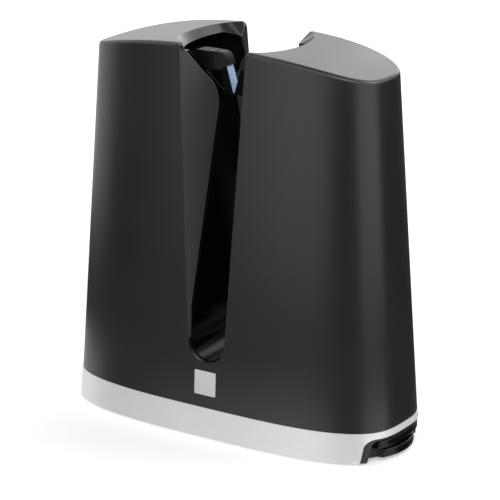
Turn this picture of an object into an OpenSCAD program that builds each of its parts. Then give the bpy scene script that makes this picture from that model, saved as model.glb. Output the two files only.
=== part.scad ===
// Manual knife sharpener: a tapered hood with a through slot, two sprung
// sharpening arms that meet in a V, and a base with a small storage drawer.
// Millimetres, +Z up. The origin is under the middle of the base, on the table.
// The slot runs front to back along Y. The drawer opens towards +X.

/* [Hood] */
// Height from the table to the top of the arch
body_height = 200; // [180:1:230]
// Length at the table
base_length = 188; // [170:1:210]
// Depth at the table
base_depth = 78; // [70:1:90]
// Length at the full height
top_length = 161.5; // [150:0.5:175]
// Depth at the full height
top_depth = 59.6; // [54:0.2:70]
// How square the rounded outline is
outline_power = 3.23; // [2.6:0.01:4]
// How much lower the top is at the two ends
arch_drop = 11; // [6:0.5:16]
// Wall of the hood
hood_wall = 2.6; // [2:0.1:3.5]
// Thickness of the top of the hood
hood_top = 4; // [3:0.1:5]
// Rounding of the top edge
edge_round = 2; // [1:0.1:3]

/* [Slot] */
// Half the width of the knife channel
channel_half = 10.2; // [9:0.1:12]
// Height of the middle of the round channel floor
channel_z = 50.5; // [46:0.5:58]
// How far the flare reaches in for each millimetre of height
flare_slope = 0.26; // [0.24:0.005:0.28]
// How much the flare widens for each millimetre towards the face
flare_open = 0.268; // [0.25:0.002:0.28]
// Thickness of the flared panels of the hood
panel_t = 1.8; // [1.4:0.1:2]
// Wall of the slot liner
liner_wall = 1.8; // [1.5:0.1:2]
// Step from the liner out to the edge of the hood
liner_step = 0.6; // [0.3:0.1:1]
// Gap between the liner and the inside of the hood
liner_gap = 0.3; // [0.2:0.05:0.5]
// Half the width of the mouth in the top, at its middle
mouth_half = 29.5; // [28:0.1:33]
// Radius of each curved side of the mouth
mouth_radius = 48; // [40:1:60]
// Height of the lower corner of the arm windows below the top
window_drop = 28.6; // [28:0.1:29.2]
// How much a window widens for each millimetre of height
window_open = 0.87; // [0.84:0.01:0.9]
// Rounding of the lower corner of each panel's edge
window_round = 16; // [10:1:18]
// How far the rim of the liner shows past the edge of the panels
rim_show = 2.4; // [1.6:0.1:2.6]
// Height of the top of the channel wall below the top
liner_drop = 27.5; // [27.5:0.1:28.5]

/* [Base] */
// Height of the rubber feet
foot_height = 0.8; // [0.6:0.1:1.2]
// Radius of the rubber feet
foot_radius = 6; // [4:0.5:8]
// Distance of the feet from each end
foot_in_x = 32; // [26:0.5:45]
// Distance of the feet from the front and the back
foot_in_y = 15; // [12:0.5:20]
// Height of the top of the silver band
band_top = 16.3; // [15.9:0.1:20]
// Wall of the silver band
band_wall = 3; // [2:0.1:3.5]
// How far the band stands proud of the hood
band_proud = 0.4; // [0.2:0.1:1]
// Thickness of the plate that closes the underside
bottom_plate_t = 1.2; // [1:0.1:1.3]
// Thickness of the inner deck
deck_t = 3; // [2.5:0.1:3.1]
// How far the top of the deck lies below the top of the band
deck_drop = 0.3; // [0.1:0.1:0.6]
// Gap between neighbouring fixed pieces
fit_gap = 0.1; // [0.05:0.05:0.2]
// Side of the square badge tile
badge_side = 12.6; // [10:0.2:16]
// Thickness of the badge tile
badge_t = 1; // [0.8:0.1:1.2]
// How far the badge tile stands proud of the face
badge_proud = 0.3; // [0.1:0.05:0.6]
// Height of the middle of the badge tile
badge_z = 29.2; // [27:0.2:31]

/* [Drawer] */
// Half the width of the arch in the band
arch_half = 26; // [25:0.1:28]
// How much wider the arch is at the table, on each side
arch_flare = 1.5; // [0:0.1:2]
// Rounding of the corners of the arch
arch_round = 5; // [3:0.5:6]
// Width of each leg of the arch surround
surround_leg = 1.9; // [1.6:0.1:2.4]
// Thickness of the top of the arch surround
surround_top = 1.2; // [1:0.1:1.4]
// Depth of the arch surround from its back panel
surround_back_x = 74; // [70:1:76]
// Thickness of the back panel of the surround
surround_back_t = 3; // [2:0.5:4]
// Half the width of the drawer tray
tray_half = 17; // [15:0.1:17.2]
// Length of the drawer tray
tray_length = 92; // [80:1:100]
// Wall of the drawer tray
tray_wall = 1.5; // [1.2:0.1:2]
// Gap under the drawer tray
tray_lift = 0.3; // [0.2:0.1:0.5]
// Width of the runner flange on each side of the tray
flange_w = 2.2; // [1.8:0.1:2.4]
// Thickness of the runner flange
flange_t = 1.7; // [1.2:0.1:2]
// Running gap of the drawer
slide_gap = 0.15; // [0.1:0.05:0.2]
// Headroom of the drawer under the top of the surround
tray_headroom = 0.7; // [0.5:0.1:1]
// How far the rails run past the back of the tray
rail_overrun = 2; // [0:0.5:6]
// Thickness of the rail foot that carries the flange
rail_foot_t = 2.6; // [2:0.1:3]
// Thickness of the rail web
rail_web_t = 2.6; // [2:0.1:3]
// Thickness of the drawer front, from the tray to its lip
front_depth = 10.4; // [8:0.2:12]
// How much wider than the tray the drawer front is, on each side
front_overlap = 2; // [1:0.1:2.4]
// How far the bottom of the drawer front lies below the top of the bottom plate
front_drop = 0.4; // [0:0.1:0.8]
// How far the upper ledge of the drawer front is set back
ledge_inset = 0.8; // [0.4:0.1:2]
// How far the finger groove of the drawer front is set back
groove_inset = 5; // [4:0.1:6]
// How far the lower lip of the drawer front lies behind the outside of the band
lip_inset = 0; // [0:0.05:0.6]
// Distance of the first spare from the back of the tray
spare_from = 16; // [14:0.5:24]
// Distance between the spares
spare_step = 22; // [20:0.5:28]
// Height of the upper ledge of the drawer front
ledge_h = 3.7; // [3:0.1:4.2]
// Height of the lower lip of the drawer front
lip_h = 4.2; // [3.5:0.1:4.6]
// Radius of the curve of the lower lip
lip_radius = 30; // [26:1:60]

/* [Arms] */
// Distance of each pivot from the middle of the slot
pivot_x = 22; // [21:0.5:26]
// Height of each pivot above the deck
pivot_rise = 16; // [15:0.5:20]
// Middle of the arms, towards the front
arm_y = -8; // [-9:0.1:-7.5]
// Thickness of each arm
arm_t = 7; // [6.8:0.1:7]
// Radius of the pivot boss of each arm
boss_radius = 7; // [6.5:0.1:7.5]
// Half the width of the lever of each arm
lever_half = 4.5; // [4:0.1:5]
// How far the top of the arm head lies below the top of the hood
head_drop = 7.7; // [7.5:0.1:9]
// Height of the arm head
head_h = 9; // [8.5:0.1:10]
// Rounding of the outer corner of the arm head
head_round = 6; // [4:0.5:7]
// Radius of each axle
axle_radius = 2.5; // [2:0.1:3]
// Running clearance between axle and bush
bush_clearance = 0.03; // [0.02:0.01:0.05]
// Wall of the bush
bush_wall = 1.5; // [1:0.1:2]
// Height of the lug that the spring pushes
lug_h = 8; // [5:0.5:10]
// How far the lug reaches behind the arm
lug_reach = 5.4; // [4:0.1:6]
// How far the foot of the lug lies below the end of the spring
lug_drop = 10; // [9:0.5:14]
// Height of the rest bumper above the pivot
bumper_rise = 66; // [50:1:75]
// Height of the bumper pad
bumper_h = 9; // [6:0.5:12]
// Width of the bumper pad
bumper_w = 6; // [4:0.1:6.6]
// Gap between the bumper and the resting arm
bumper_gap = 0.1; // [0.05:0.05:0.2]

/* [Cartridges] */
// Distance of the joint between arm and holder from the middle
holder_x = 12; // [11.5:0.1:13]
// Lean of each abrasive plate from upright
stone_lean = 16.7; // [15:0.1:18]
// Half the gap between the two plates at the point of the V
stone_tip_gap = 0.25; // [0.2:0.05:0.4]
// Height of the point of the V below the top of the hood
stone_tip_drop = 28; // [27.5:0.1:28.5]
// Length of the visible face of each plate
stone_face = 14.4; // [13.5:0.1:14.8]
// Thickness of each plate
stone_t = 1.4; // [1.2:0.1:1.6]
// Length of each plate inside its holder
stone_root = 2; // [1:0.1:2.5]
// Thickness of the carrier behind each plate
carrier_t = 3; // [2.5:0.1:3.2]
// How far the nose of the holder stands over the plate
nose_proud = 1.2; // [0.8:0.1:1.6]
// How far the upper end of the holder is set back from its nose
nose_set = 1.2; // [0.6:0.1:1.6]
// Rounding of the upper corner of the holder
nose_round = 5; // [3:0.1:5.2]
// How far below the nose the carrier leaves the holder
throat = 3; // [2:0.1:3.5]
// Cheek of the holder on each side of the plate
cheek = 0.5; // [0.4:0.05:0.7]
// Sliding clearance of the holder in the arm
holder_clearance = 0.12; // [0.1:0.01:0.2]
// Width of the neck of the holder tongue
tongue_neck = 2.2; // [1.8:0.1:2.4]
// Width of the head of the holder tongue
tongue_head = 4; // [3.6:0.1:4.2]
// Length of each of the two steps of the tongue
tongue_step = 2.4; // [2:0.1:2.6]
// Floor under the tongue
tongue_floor = 2; // [1.5:0.1:2.5]

/* [Brackets and springs] */
// Thickness of each bracket plate
bracket_t = 3; // [2.5:0.1:3.5]
// Reach of the bracket from the pivot towards the slot
bracket_in = 9.5; // [9:0.1:10]
// Reach of the bracket from the pivot towards the end
bracket_out = 15.5; // [13:0.1:20]
// Distance of the bracket's screws from its edge
bracket_hole_in = 3; // [2.8:0.1:4]
// Distance of the bracket's screws behind the arm
bracket_hole_y = 0.7; // [0:0.1:1.5]
// Gap between the bracket ear and the arm
ear_gap = 0.5; // [0.3:0.1:0.8]
// Free width kept for the spring
spring_space = 8.4; // [8:0.1:10]
// Gap between the spring and the rear ear
spring_set = 1.6; // [1:0.1:2]
// Wire of the torsion spring
spring_wire = 1.2; // [1:0.1:1.4]
// Mean radius of the spring coil
spring_radius = 5.2; // [4.8:0.1:6]
// Turns of the spring
spring_turns = 3; // [2:1:4]
// Distance between spring turns
spring_pitch = 1.8; // [1.6:0.1:2]
// Length of the spring leg that pushes the arm
spring_leg = 28; // [20:1:40]
// Thickness of each retaining clip
clip_t = 1; // [0.8:0.1:1.2]
// Radius of each retaining clip
clip_radius = 4.6; // [4:0.1:6]
// Radius of a screw shank
screw_radius = 1.25; // [1:0.05:1.5]
// Radius of a screw head
screw_head = 2.5; // [2.2:0.1:3]
// Height of a screw head
screw_head_h = 1; // [0.8:0.05:1.1]
// Length of a screw shank
screw_length = 7; // [5:0.5:9]
// Radius of a screw boss
screw_boss = 4; // [3.5:0.1:4.4]
// Distance of the hood's screws from each end
hood_boss_in_x = 24; // [20:0.5:30]
// Distance of the hood's screws from the front and the back
hood_boss_in_y = 13; // [12:0.5:15]
// Height of the hood's screw bosses
hood_boss_h = 20; // [12:1:30]
// Thickness of the rib from each boss to the wall of the hood
boss_rib = 2; // [1.5:0.1:3]
// Distance of the bottom plate's screws from the middle
plate_boss_x = 36; // [28:1:50]
// Distance of the liner's posts from the middle
liner_post_y = 12; // [9:0.5:24]
// Radius of the liner's posts
liner_post_r = 5; // [4:0.1:7]

/* [Hidden] */

$fn = 48;
eps = 0.01;
far = 60;
outline_n = 64;

// Heights of the base
bottom_z = foot_height;
bottom_top = bottom_z + bottom_plate_t;
deck_top = band_top - deck_drop;
deck_z = deck_top - deck_t;
arch_top = deck_z;
// Drawer heights and places
tray_z = bottom_top + tray_lift;
tray_top = arch_top - surround_top - tray_headroom;
front_x = half_len(bottom_z) + band_proud - front_depth;
tray_x = front_x - tray_length;
front_z = bottom_top - front_drop;
flange_z = tray_top - flange_t;
// Pivot and arm places
pivot_z = deck_top + pivot_rise;
arm_front = arm_y - arm_t / 2;
arm_back = arm_y + arm_t / 2;
lever_in = pivot_x - lever_half;
lever_out = pivot_x + lever_half;
head_top = body_height - head_drop;
head_z = head_top - head_h;
bumper_z = pivot_z + bumper_rise;
// Plate places, on the left side
tip_z = body_height - stone_tip_drop;
// Screw and foot places
shell_boss_x = base_length / 2 - hood_boss_in_x;
shell_boss_y = base_depth / 2 - hood_boss_in_y;
rail_out = tray_half + flange_w + slide_gap + rail_web_t;
plate_boss_y = (rail_out + band_inside(plate_boss_x)) / 2;
foot_x = base_length / 2 - foot_in_x;
foot_y = base_depth / 2 - foot_in_y;

// Half length and half depth of the tapered outline at a height
function half_len(z) = base_length / 2 + (top_length - base_length) / 2 * z / body_height;
function half_dep(z) = base_depth / 2 + (top_depth - base_depth) / 2 * z / body_height;
// Height of the arched top over a point
function arch(x) = body_height - arch_drop * pow(x / (top_length / 2), 2);
function signed_power(v) = sign(v) * pow(abs(v), 2 / outline_power);
// Distance from the middle to the edge of the deck inside the band, at a place along it
function band_inside(x) = (half_dep(deck_top) - band_wall - fit_gap)
    * pow(1 - pow(x / (half_len(deck_top) - band_wall - fit_gap), outline_power), 1 / outline_power);
function along(i) = signed_power(cos(360 * i / outline_n));
function across(i) = signed_power(sin(360 * i / outline_n));
// The outline at one height, grown outwards
function outline(z, grow) = [for (i = [0:outline_n - 1])
    [(half_len(z) + grow) * along(i), (half_dep(z) + grow) * across(i)]];
function flat_ring(z, grow) = [for (p = outline(z, grow)) [p[0], p[1], z]];
// Height of the top edge of the hood, less a drop, at one point of the outline
function edge_z(i, drop) = arch(half_len(body_height) * along(i)) - drop;
function edge_ring(drop, inset, rise) = [for (i = [0:outline_n - 1])
    let (z = edge_z(i, drop))
    [(half_len(z) - inset) * along(i), (half_dep(z) - inset) * across(i), z + rise]];
// A ring of the arched top, drawn in towards the middle
function top_ring(drop, inset, share) = [for (p = edge_ring(drop, inset, 0))
    [p[0] * share, p[1] * share, arch(p[0] * share) - drop]];

// A closed solid through rings of equal count, from the lowest to the highest
module ring_solid(rings) {
    count = len(rings[0]);
    last = len(rings) - 1;
    middle_low = len(rings) * count;
    polyhedron(
        points = concat([for (r = rings) each r],
                        [[0, 0, rings[0][0][2]], [0, 0, max([for (p = rings[last]) p[2]])]]),
        faces = concat(
            [for (k = [0:last - 1]) for (i = [0:count - 1])
                let (j = (i + 1) % count) [k * count + i, (k + 1) * count + i, k * count + j]],
            [for (k = [0:last - 1]) for (i = [0:count - 1])
                let (j = (i + 1) % count)
                [k * count + j, (k + 1) * count + i, (k + 1) * count + j]],
            [for (i = [0:count - 1]) [middle_low, i, (i + 1) % count]],
            [for (i = [0:count - 1])
                [middle_low + 1, last * count + (i + 1) % count, last * count + i]]));
}

// The outside of the hood, with a rounded top edge
module hood_outside() {
    ring_solid(concat(
        [flat_ring(band_top, 0)],
        [for (turn = [0:30:90])
            edge_ring(edge_round, edge_round * (1 - cos(turn)), edge_round * sin(turn))],
        [for (share = [0.75, 0.5, 0.25]) top_ring(0, edge_round, share)],
        [top_ring(0, edge_round, 0.01)]));
}

// The hollow of the hood, open at the bottom
module hood_inside() {
    ring_solid(concat(
        [flat_ring(band_top - 1, -hood_wall)],
        [edge_ring(hood_top, hood_wall, 0)],
        [for (share = [0.66, 0.33]) top_ring(hood_top, hood_wall, share)],
        [top_ring(hood_top, hood_wall, 0.01)]));
}

// A profile drawn as x and z, extruded along y between two places
module along_y(y0, y1) {
    translate([0, y1, 0])
        rotate([90, 0, 0])
            linear_extrude(y1 - y0)
                children();
}

// A profile drawn as y and z, extruded along x between two places
module along_x(x0, x1) {
    translate([x0, 0, 0])
        rotate([90, 0, 90])
            linear_extrude(x1 - x0)
                children();
}

// A round bar along y
module bar_y(x, z, y0, y1, r) {
    translate([x, y0, z])
        rotate([-90, 0, 0])
            cylinder(h = y1 - y0, r = r);
}

// Place of the inner edge of the flare, and half its width, at a height
function flare_y(z) = flare_slope * (z - channel_z) - half_dep(channel_z);
function flare_half(y, z) = channel_half + flare_open * (flare_y(z) - y);

// The knife channel, with its round floor
module channel(grow) {
    along_y(-far, far) {
        translate([0, channel_z])
            circle(r = channel_half + grow);
        translate([-channel_half - grow, channel_z])
            square([2 * (channel_half + grow), body_height]);
    }
}

// The flared entry at the front: a wedge that widens upwards and outwards
module front_flare(grow) {
    low = channel_z;
    high = body_height + 10;
    inner = channel_half - liner_wall;
    inner_run = liner_wall / flare_open;
    corners = [for (z = [low, high]) each [
        [-flare_half(-far, z) - grow, -far, z],
        [flare_half(-far, z) + grow, -far, z],
        [inner + grow, flare_y(z) + inner_run, z],
        [-inner - grow, flare_y(z) + inner_run, z]]];
    polyhedron(points = corners, faces = [[0, 1, 2, 3], [7, 6, 5, 4], [0, 4, 5, 1],
        [1, 5, 6, 2], [2, 6, 7, 3], [3, 7, 4, 0]]);
}

// The whole slot: the channel and a flare at each face
module slot_space(grow) {
    channel(grow);
    front_flare(grow);
    mirror([0, 1, 0])
        front_flare(grow);
}

// The mouth in the top, bounded by two curved sides
module mouth() {
    z = arch(mouth_half) - hood_top - 1;
    intersection_for(side = [-1, 1])
        translate([side * (mouth_radius - mouth_half), 0, z])
            cylinder(h = body_height - z + 1, r = mouth_radius, $fn = 96);
}

// The same shape at the front and at the back
module both_faces() {
    children();
    mirror([0, 1, 0])
        children();
}

// The edge of a front panel, from its inner edge round the corner and up, as y and z
window_z = body_height - window_drop;
window_turn = [-atan(flare_slope), atan(window_open)];
function direction(turn) = [cos(turn), sin(turn)];
function window_middle() = let (a = direction(window_turn[0]), b = direction(window_turn[1]))
    [flare_y(window_z), window_z] - window_round * (a + b) / (1 + a * b);
function window_reach(z) = flare_y(window_z) - window_open * (z - window_z);
function panel_edge() = concat(
    [for (share = [0:0.125:1])
        window_middle() + window_round * direction(window_turn[0] * (1 - share) + window_turn[1] * share)],
    [[window_reach(body_height), body_height]]);

// The part of a front panel behind the face of the hood
module panel_side() {
    high = body_height;
    inset = hood_wall / 2;
    rise = (base_depth - top_depth) / 2 / body_height;
    low = channel_z + inset / (flare_slope - rise);
    along_x(-far, far)
        difference() {
            polygon([[flare_y(low), low], [flare_y(high), high], [inset - half_dep(high), high]]);
            polygon(concat(panel_edge(), [[far, body_height], [far, panel_edge()[0][1]]]));
        }
}

// The two flared panels at the front, still filled between them
module front_panels() {
    intersection() {
        front_flare(liner_step + panel_t);
        panel_side();
    }
}

// A screw standing upright with its head at the bottom
module screw_up(x, y, z) {
    translate([x, y, z])
        cylinder(h = screw_head_h, r = screw_head);
    translate([x, y, z])
        cylinder(h = screw_head_h + screw_length, r = screw_radius);
}

// The room for such a screw
module screw_room(x, y, z) {
    translate([x, y, z - eps])
        cylinder(h = screw_head_h + eps, r = screw_head + fit_gap);
    translate([x, y, z])
        cylinder(h = screw_head_h + screw_length + 1, r = screw_radius + fit_gap);
}

// Places of the screws, as x and y
function shell_screws() = [for (x = [-1, 1]) for (y = [-1, 1])
    [x * shell_boss_x, y * shell_boss_y]];
function liner_screws() = [for (y = [-1, 1]) [0, y * liner_post_y]];
function plate_screws() = [for (x = [-1, 1]) for (y = [-1, 1])
    [x * plate_boss_x, y * plate_boss_y]];
function bracket_holes() = [for (x = [-1, 1])
    for (s = [bracket_hole_in - bracket_out, bracket_in - bracket_hole_in])
    [x * (pivot_x - s), arm_back + bracket_hole_y]];

// The square pocket or tile on the leaning front face
module badge(side, front) {
    lean = atan((base_depth - top_depth) / 2 / body_height);
    translate([0, -half_dep(badge_z), badge_z])
        rotate([-lean, 0, 0])
            translate([-side / 2, -front, -side / 2])
                cube([side, front + badge_t, side]);
}

module housing_shell() {
    color("#262627")
    difference() {
        union() {
            difference() {
                hood_outside();
                hood_inside();
                mouth();
            }
            front_panels();
            intersection() {
                hood_outside();
                union() {
                    for (p = shell_screws()) {
                        translate([p[0], p[1], deck_top])
                            cylinder(h = hood_boss_h, r = screw_boss);
                        translate([p[0] - boss_rib / 2, min(p[1], sign(p[1]) * base_depth / 2), deck_top])
                            cube([boss_rib, hood_boss_in_y, hood_boss_h]);
                    }
                }
            }
        }
        slot_space(liner_step);
        badge(badge_side + 2 * fit_gap, 1);
        for (p = shell_screws())
            screw_room(p[0], p[1], deck_z);
    }
}

// The room inside the hood that the liner may fill, seen from the side
module liner_room() {
    low = channel_z - channel_half - liner_wall - 1;
    high = arch(mouth_half) - hood_top - liner_gap;
    inset = hood_wall + liner_gap;
    along_x(-far, far)
        polygon([[-half_dep(low) + inset, low], [half_dep(low) - inset, low],
            [half_dep(high) - inset, high], [-half_dep(high) + inset, high]]);
}

// The room in front of the inner edge of the front panels
module front_room() {
    high = body_height + 1;
    along_x(-far, far)
        polygon([[flare_y(channel_z) + fit_gap, channel_z], [flare_y(high) + fit_gap, high], [-far, high],
            [-far, channel_z]]);
}

// The wings of the liner, drawn at the front
module front_wings(inside) {
    difference() {
        front_flare(inside + liner_wall);
        front_flare(inside);
    }
}

// The opening between the rims of the liner, drawn as y and z
module liner_window() {
    rim = rim_show / cos(window_turn[1]);
    low = body_height - liner_drop;
    high = body_height + 1;
    polygon([[window_reach(low) + rim, low], [-window_reach(low) - rim, low],
        [-window_reach(high) - rim, high], [window_reach(high) + rim, high]]);
}

module slot_liner() {
    color("#0c0c0d")
    difference() {
        union() {
            intersection() {
                union() {
                    difference() {
                        channel(liner_wall);
                        both_faces()
                            front_room();
                    }
                    front_wings(liner_step + panel_t + fit_gap);
                    mirror([0, 1, 0])
                        front_wings(0);
                }
                liner_room();
            }
            for (p = liner_screws())
                translate([p[0], p[1], deck_top])
                    cylinder(h = channel_z - channel_half - liner_wall / 2 - deck_top,
                        r = liner_post_r);
        }
        channel(0);
        along_x(-far, far)
            liner_window();
        for (p = liner_screws())
            screw_room(p[0], p[1], deck_z);
    }
}

// The arch at the drawer end, drawn as y and z
module arch_shape(half, top, round) {
    foot = half + arch_flare;
    polygon([[-foot, -1], [foot, -1], [foot, 0], [half, top - round], [-half, top - round], [-foot, 0]]);
    translate([-half + round, 0])
        square([2 * (half - round), top]);
    for (side = [-1, 1])
        translate([side * (half - round), top - round])
            circle(r = round);
}

module base_band() {
    color("#c9cacc")
    difference() {
        ring_solid([flat_ring(bottom_z, band_proud), flat_ring(band_top, band_proud)]);
        ring_solid([flat_ring(bottom_z - 1, -band_wall), flat_ring(band_top + 1, -band_wall)]);
        along_x(0, base_length)
            arch_shape(arch_half, arch_top, arch_round);
    }
}

module base_deck() {
    color("#2b2b2c")
    difference() {
        union() {
            translate([0, 0, deck_z])
                linear_extrude(deck_t)
                    polygon(outline(deck_top, -band_wall - fit_gap));
            for (p = plate_screws())
                translate([p[0], p[1], bottom_top])
                    cylinder(h = deck_z - bottom_top + eps, r = screw_boss);
        }
        for (p = concat(shell_screws(), liner_screws()))
            screw_room(p[0], p[1], deck_z);
        for (p = plate_screws())
            screw_room(p[0], p[1], bottom_z);
        for (p = bracket_holes())
            translate([p[0], p[1], deck_z - 1])
                cylinder(h = deck_t + 2, r = screw_radius + fit_gap);
    }
}

module bottom_plate() {
    color("#2b2b2c")
    difference() {
        intersection() {
            translate([0, 0, bottom_z])
                linear_extrude(bottom_plate_t)
                    polygon(outline(bottom_top, -band_wall - fit_gap));
            translate([-base_length, -base_depth, 0])
                cube([base_length + surround_back_x - fit_gap, 2 * base_depth, deck_z]);
        }
        for (p = plate_screws())
            screw_room(p[0], p[1], bottom_z);
    }
}

module rubber_feet() {
    color("#1b1b1b")
    for (x = [-1, 1])
        for (y = [-1, 1])
            translate([x * foot_x, y * foot_y, 0])
                cylinder(h = foot_height, r = foot_radius);
}

module badge_tile() {
    color("#d8d8d8")
        badge(badge_side, badge_proud);
}

// The drawer way through the back panel of the surround
module drawer_way() {
    half = tray_half + flange_w + slide_gap;
    translate([-half, -1])
        square([2 * half, tray_top + slide_gap + 1]);
}

module drawer_surround() {
    inner_half = arch_half - surround_leg;
    inner_top = arch_top - surround_top;
    color("#3c3c3d")
    intersection() {
        difference() {
            along_x(surround_back_x, base_length)
                arch_shape(arch_half - fit_gap, arch_top - eps, arch_round - fit_gap);
            along_x(surround_back_x + surround_back_t, base_length)
                arch_shape(inner_half, inner_top, arch_round - surround_top);
            along_x(surround_back_x - 1, base_length)
                drawer_way();
        }
        translate([0, 0, bottom_z])
            linear_extrude(deck_z)
                polygon(outline(arch_top, 0));
    }
}

module drawer_rails() {
    inner = tray_half + slide_gap;
    web = rail_out - rail_web_t;
    foot_top = flange_z - slide_gap;
    color("#4a4a4b")
    for (side = [0, 1])
        mirror([0, side, 0])
            along_x(tray_x - rail_overrun, surround_back_x - fit_gap)
                polygon([[inner, foot_top - rail_foot_t],
                    [rail_out, foot_top - rail_foot_t], [rail_out, deck_z],
                    [web, deck_z], [web, foot_top], [inner, foot_top]]);
}

module drawer_tray() {
    color("#1d1d1e")
    difference() {
        along_x(tray_x, front_x)
            polygon([[-tray_half, tray_z], [tray_half, tray_z], [tray_half, flange_z],
                [tray_half + flange_w, flange_z], [tray_half + flange_w, tray_top],
                [-tray_half - flange_w, tray_top], [-tray_half - flange_w, flange_z],
                [-tray_half, flange_z]]);
        translate([tray_x + tray_wall, -tray_half + tray_wall, tray_z + tray_wall])
            cube([tray_length - 2 * tray_wall, 2 * (tray_half - tray_wall), base_depth]);
    }
}

// The part of a shape that lies within the width of the drawer front
module front_part() {
    intersection() {
        children();
        translate([front_x, -tray_half - front_overlap, 0])
            cube([base_length, 2 * (tray_half + front_overlap), deck_z]);
    }
}

// A slice of the drawer front that follows the outline of the base
module front_slice(z0, z1, grow) {
    front_part()
        translate([0, 0, z0])
            linear_extrude(z1 - z0)
                polygon(outline(bottom_z, grow));
}

module drawer_front() {
    lip_x = half_len(bottom_z) + band_proud - lip_inset - lip_radius;
    color("#161617") {
        front_slice(front_z, tray_top, -groove_inset);
        front_slice(tray_top - ledge_h, tray_top, -ledge_inset);
        front_part()
            translate([lip_x, 0, front_z])
                cylinder(h = lip_h, r = lip_radius);
    }
}

module left_bracket() {
    base_low = pivot_x - bracket_in;
    base_high = pivot_x + bracket_out;
    ear_front = arm_front - ear_gap;
    ear_back = arm_back + spring_space;
    color("#b9bcc0")
    difference() {
        union() {
            translate([-base_high, ear_front - bracket_t, deck_top])
                cube([base_high - base_low, ear_back + 2 * bracket_t - ear_front, bracket_t]);
            for (y = [ear_front - bracket_t, ear_back])
                along_y(y, y + bracket_t) {
                    translate([-pivot_x, pivot_z])
                        circle(r = boss_radius);
                    translate([-pivot_x - boss_radius, deck_top])
                        square([2 * boss_radius, pivot_rise]);
                }
        }
        bar_y(-pivot_x, pivot_z, -far, far, axle_radius);
        for (p = bracket_holes())
            translate([p[0], p[1], deck_top - 1])
                cylinder(h = bracket_t + 2, r = screw_radius + fit_gap);
    }
}

module left_axle() {
    end = bracket_t + fit_gap + 2 * clip_t;
    color("#c6c8ca")
        bar_y(-pivot_x, pivot_z, arm_front - ear_gap - end, arm_back + spring_space + end,
            axle_radius);
}

module left_axle_clips() {
    front = arm_front - ear_gap - bracket_t - fit_gap - clip_t;
    back = arm_back + spring_space + bracket_t + fit_gap;
    color("#8f9296")
    for (y = [front, back])
        difference() {
            bar_y(-pivot_x, pivot_z, y, y + clip_t, clip_radius);
            bar_y(-pivot_x, pivot_z, y - 1, y + clip_t + 1, axle_radius);
        }
}

// Middle line of the spring: a leg up from the bracket, the coil, a leg up the arm
spring_y = arm_back + spring_space - spring_set - spring_wire / 2;
coil_steps = 16;
function spring_coil(i) = let (turn = i / coil_steps)
    [[-pivot_x - spring_radius * cos(360 * turn), spring_y - spring_pitch * turn,
        pivot_z + spring_radius * sin(360 * turn)], [-cos(360 * turn), 0, sin(360 * turn)]];
function spring_line() = concat(
    [[[-pivot_x - spring_radius, spring_y, deck_top + bracket_t + fit_gap], [-1, 0, 0]]],
    [for (i = [0:coil_steps * spring_turns]) spring_coil(i)],
    [[[-pivot_x - spring_radius, spring_y - spring_pitch * spring_turns,
        pivot_z + spring_leg], [-1, 0, 0]]]);

module left_spring() {
    sides = 6;
    line = spring_line();
    count = len(line);
    points = [for (s = line) for (k = [0:sides - 1])
        s[0] + spring_wire / 2 * (cos(360 * k / sides) * s[1] + sin(360 * k / sides) * [0, 1, 0])];
    color("#9da0a4")
    polyhedron(points = points, faces = concat(
        [for (i = [0:count - 2]) for (k = [0:sides - 1]) let (n = (k + 1) % sides)
            [i * sides + k, i * sides + n, (i + 1) * sides + k]],
        [for (i = [0:count - 2]) for (k = [0:sides - 1]) let (n = (k + 1) % sides)
            [i * sides + n, (i + 1) * sides + n, (i + 1) * sides + k]],
        [[for (k = [sides - 1:-1:0]) k]],
        [[for (k = [0:sides - 1]) (count - 1) * sides + k]]));
}

module left_bumper() {
    wall = channel_half + liner_wall;
    color("#202020")
    translate([-lever_in + bumper_gap, arm_y - bumper_w / 2, bumper_z - bumper_h / 2])
        cube([lever_in - bumper_gap - wall, bumper_w, bumper_h]);
}

// The lever and head of the left arm, drawn as x and z
module arm_profile() {
    translate([-pivot_x, pivot_z])
        circle(r = boss_radius);
    translate([-lever_out, pivot_z])
        square([lever_out - lever_in, head_top - head_round - pivot_z]);
    translate([-lever_out + head_round, head_z])
        square([lever_out - head_round - holder_x, head_h]);
    translate([-lever_out + head_round, head_top - head_round])
        intersection() {
            circle(r = head_round);
            translate([-head_round, -eps])
                square(head_round + eps);
        }
}

// The tongue of the holder, or the groove for it in the arm, grown on each side
module tongue(grow, top) {
    z = head_z + tongue_floor;
    translate([-holder_x - tongue_step - grow, arm_y - tongue_neck / 2 - grow, z])
        cube([tongue_step + grow + 1, tongue_neck + 2 * grow, top - z]);
    translate([-holder_x - 2 * tongue_step - grow, arm_y - tongue_head / 2 - grow, z])
        cube([tongue_step + grow, tongue_head + 2 * grow, top - z]);
}

module left_arm() {
    lug_x = pivot_x + spring_radius - spring_wire / 2 - bumper_gap;
    lug_z = pivot_z + spring_leg - lug_drop;
    color("#3a3a3b")
    difference() {
        union() {
            along_y(arm_front, arm_back)
                arm_profile();
            translate([-lug_x, arm_back - eps, lug_z])
                cube([lug_x - lever_in, lug_reach, lug_h]);
        }
        bar_y(-pivot_x, pivot_z, -far, far, axle_radius + bush_clearance + bush_wall);
        tongue(holder_clearance, body_height);
    }
}

module left_bush() {
    color("#b08d57")
    difference() {
        bar_y(-pivot_x, pivot_z, arm_front, arm_back,
            axle_radius + bush_clearance + bush_wall);
        bar_y(-pivot_x, pivot_z, -far, far, axle_radius + bush_clearance);
    }
}

// A point in the leaning frame of the left plate: along its face and behind it
function on_plate(up, behind) = [
    -stone_tip_gap - up * sin(stone_lean) - behind * cos(stone_lean),
    tip_z + up * cos(stone_lean) - behind * sin(stone_lean)];

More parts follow.
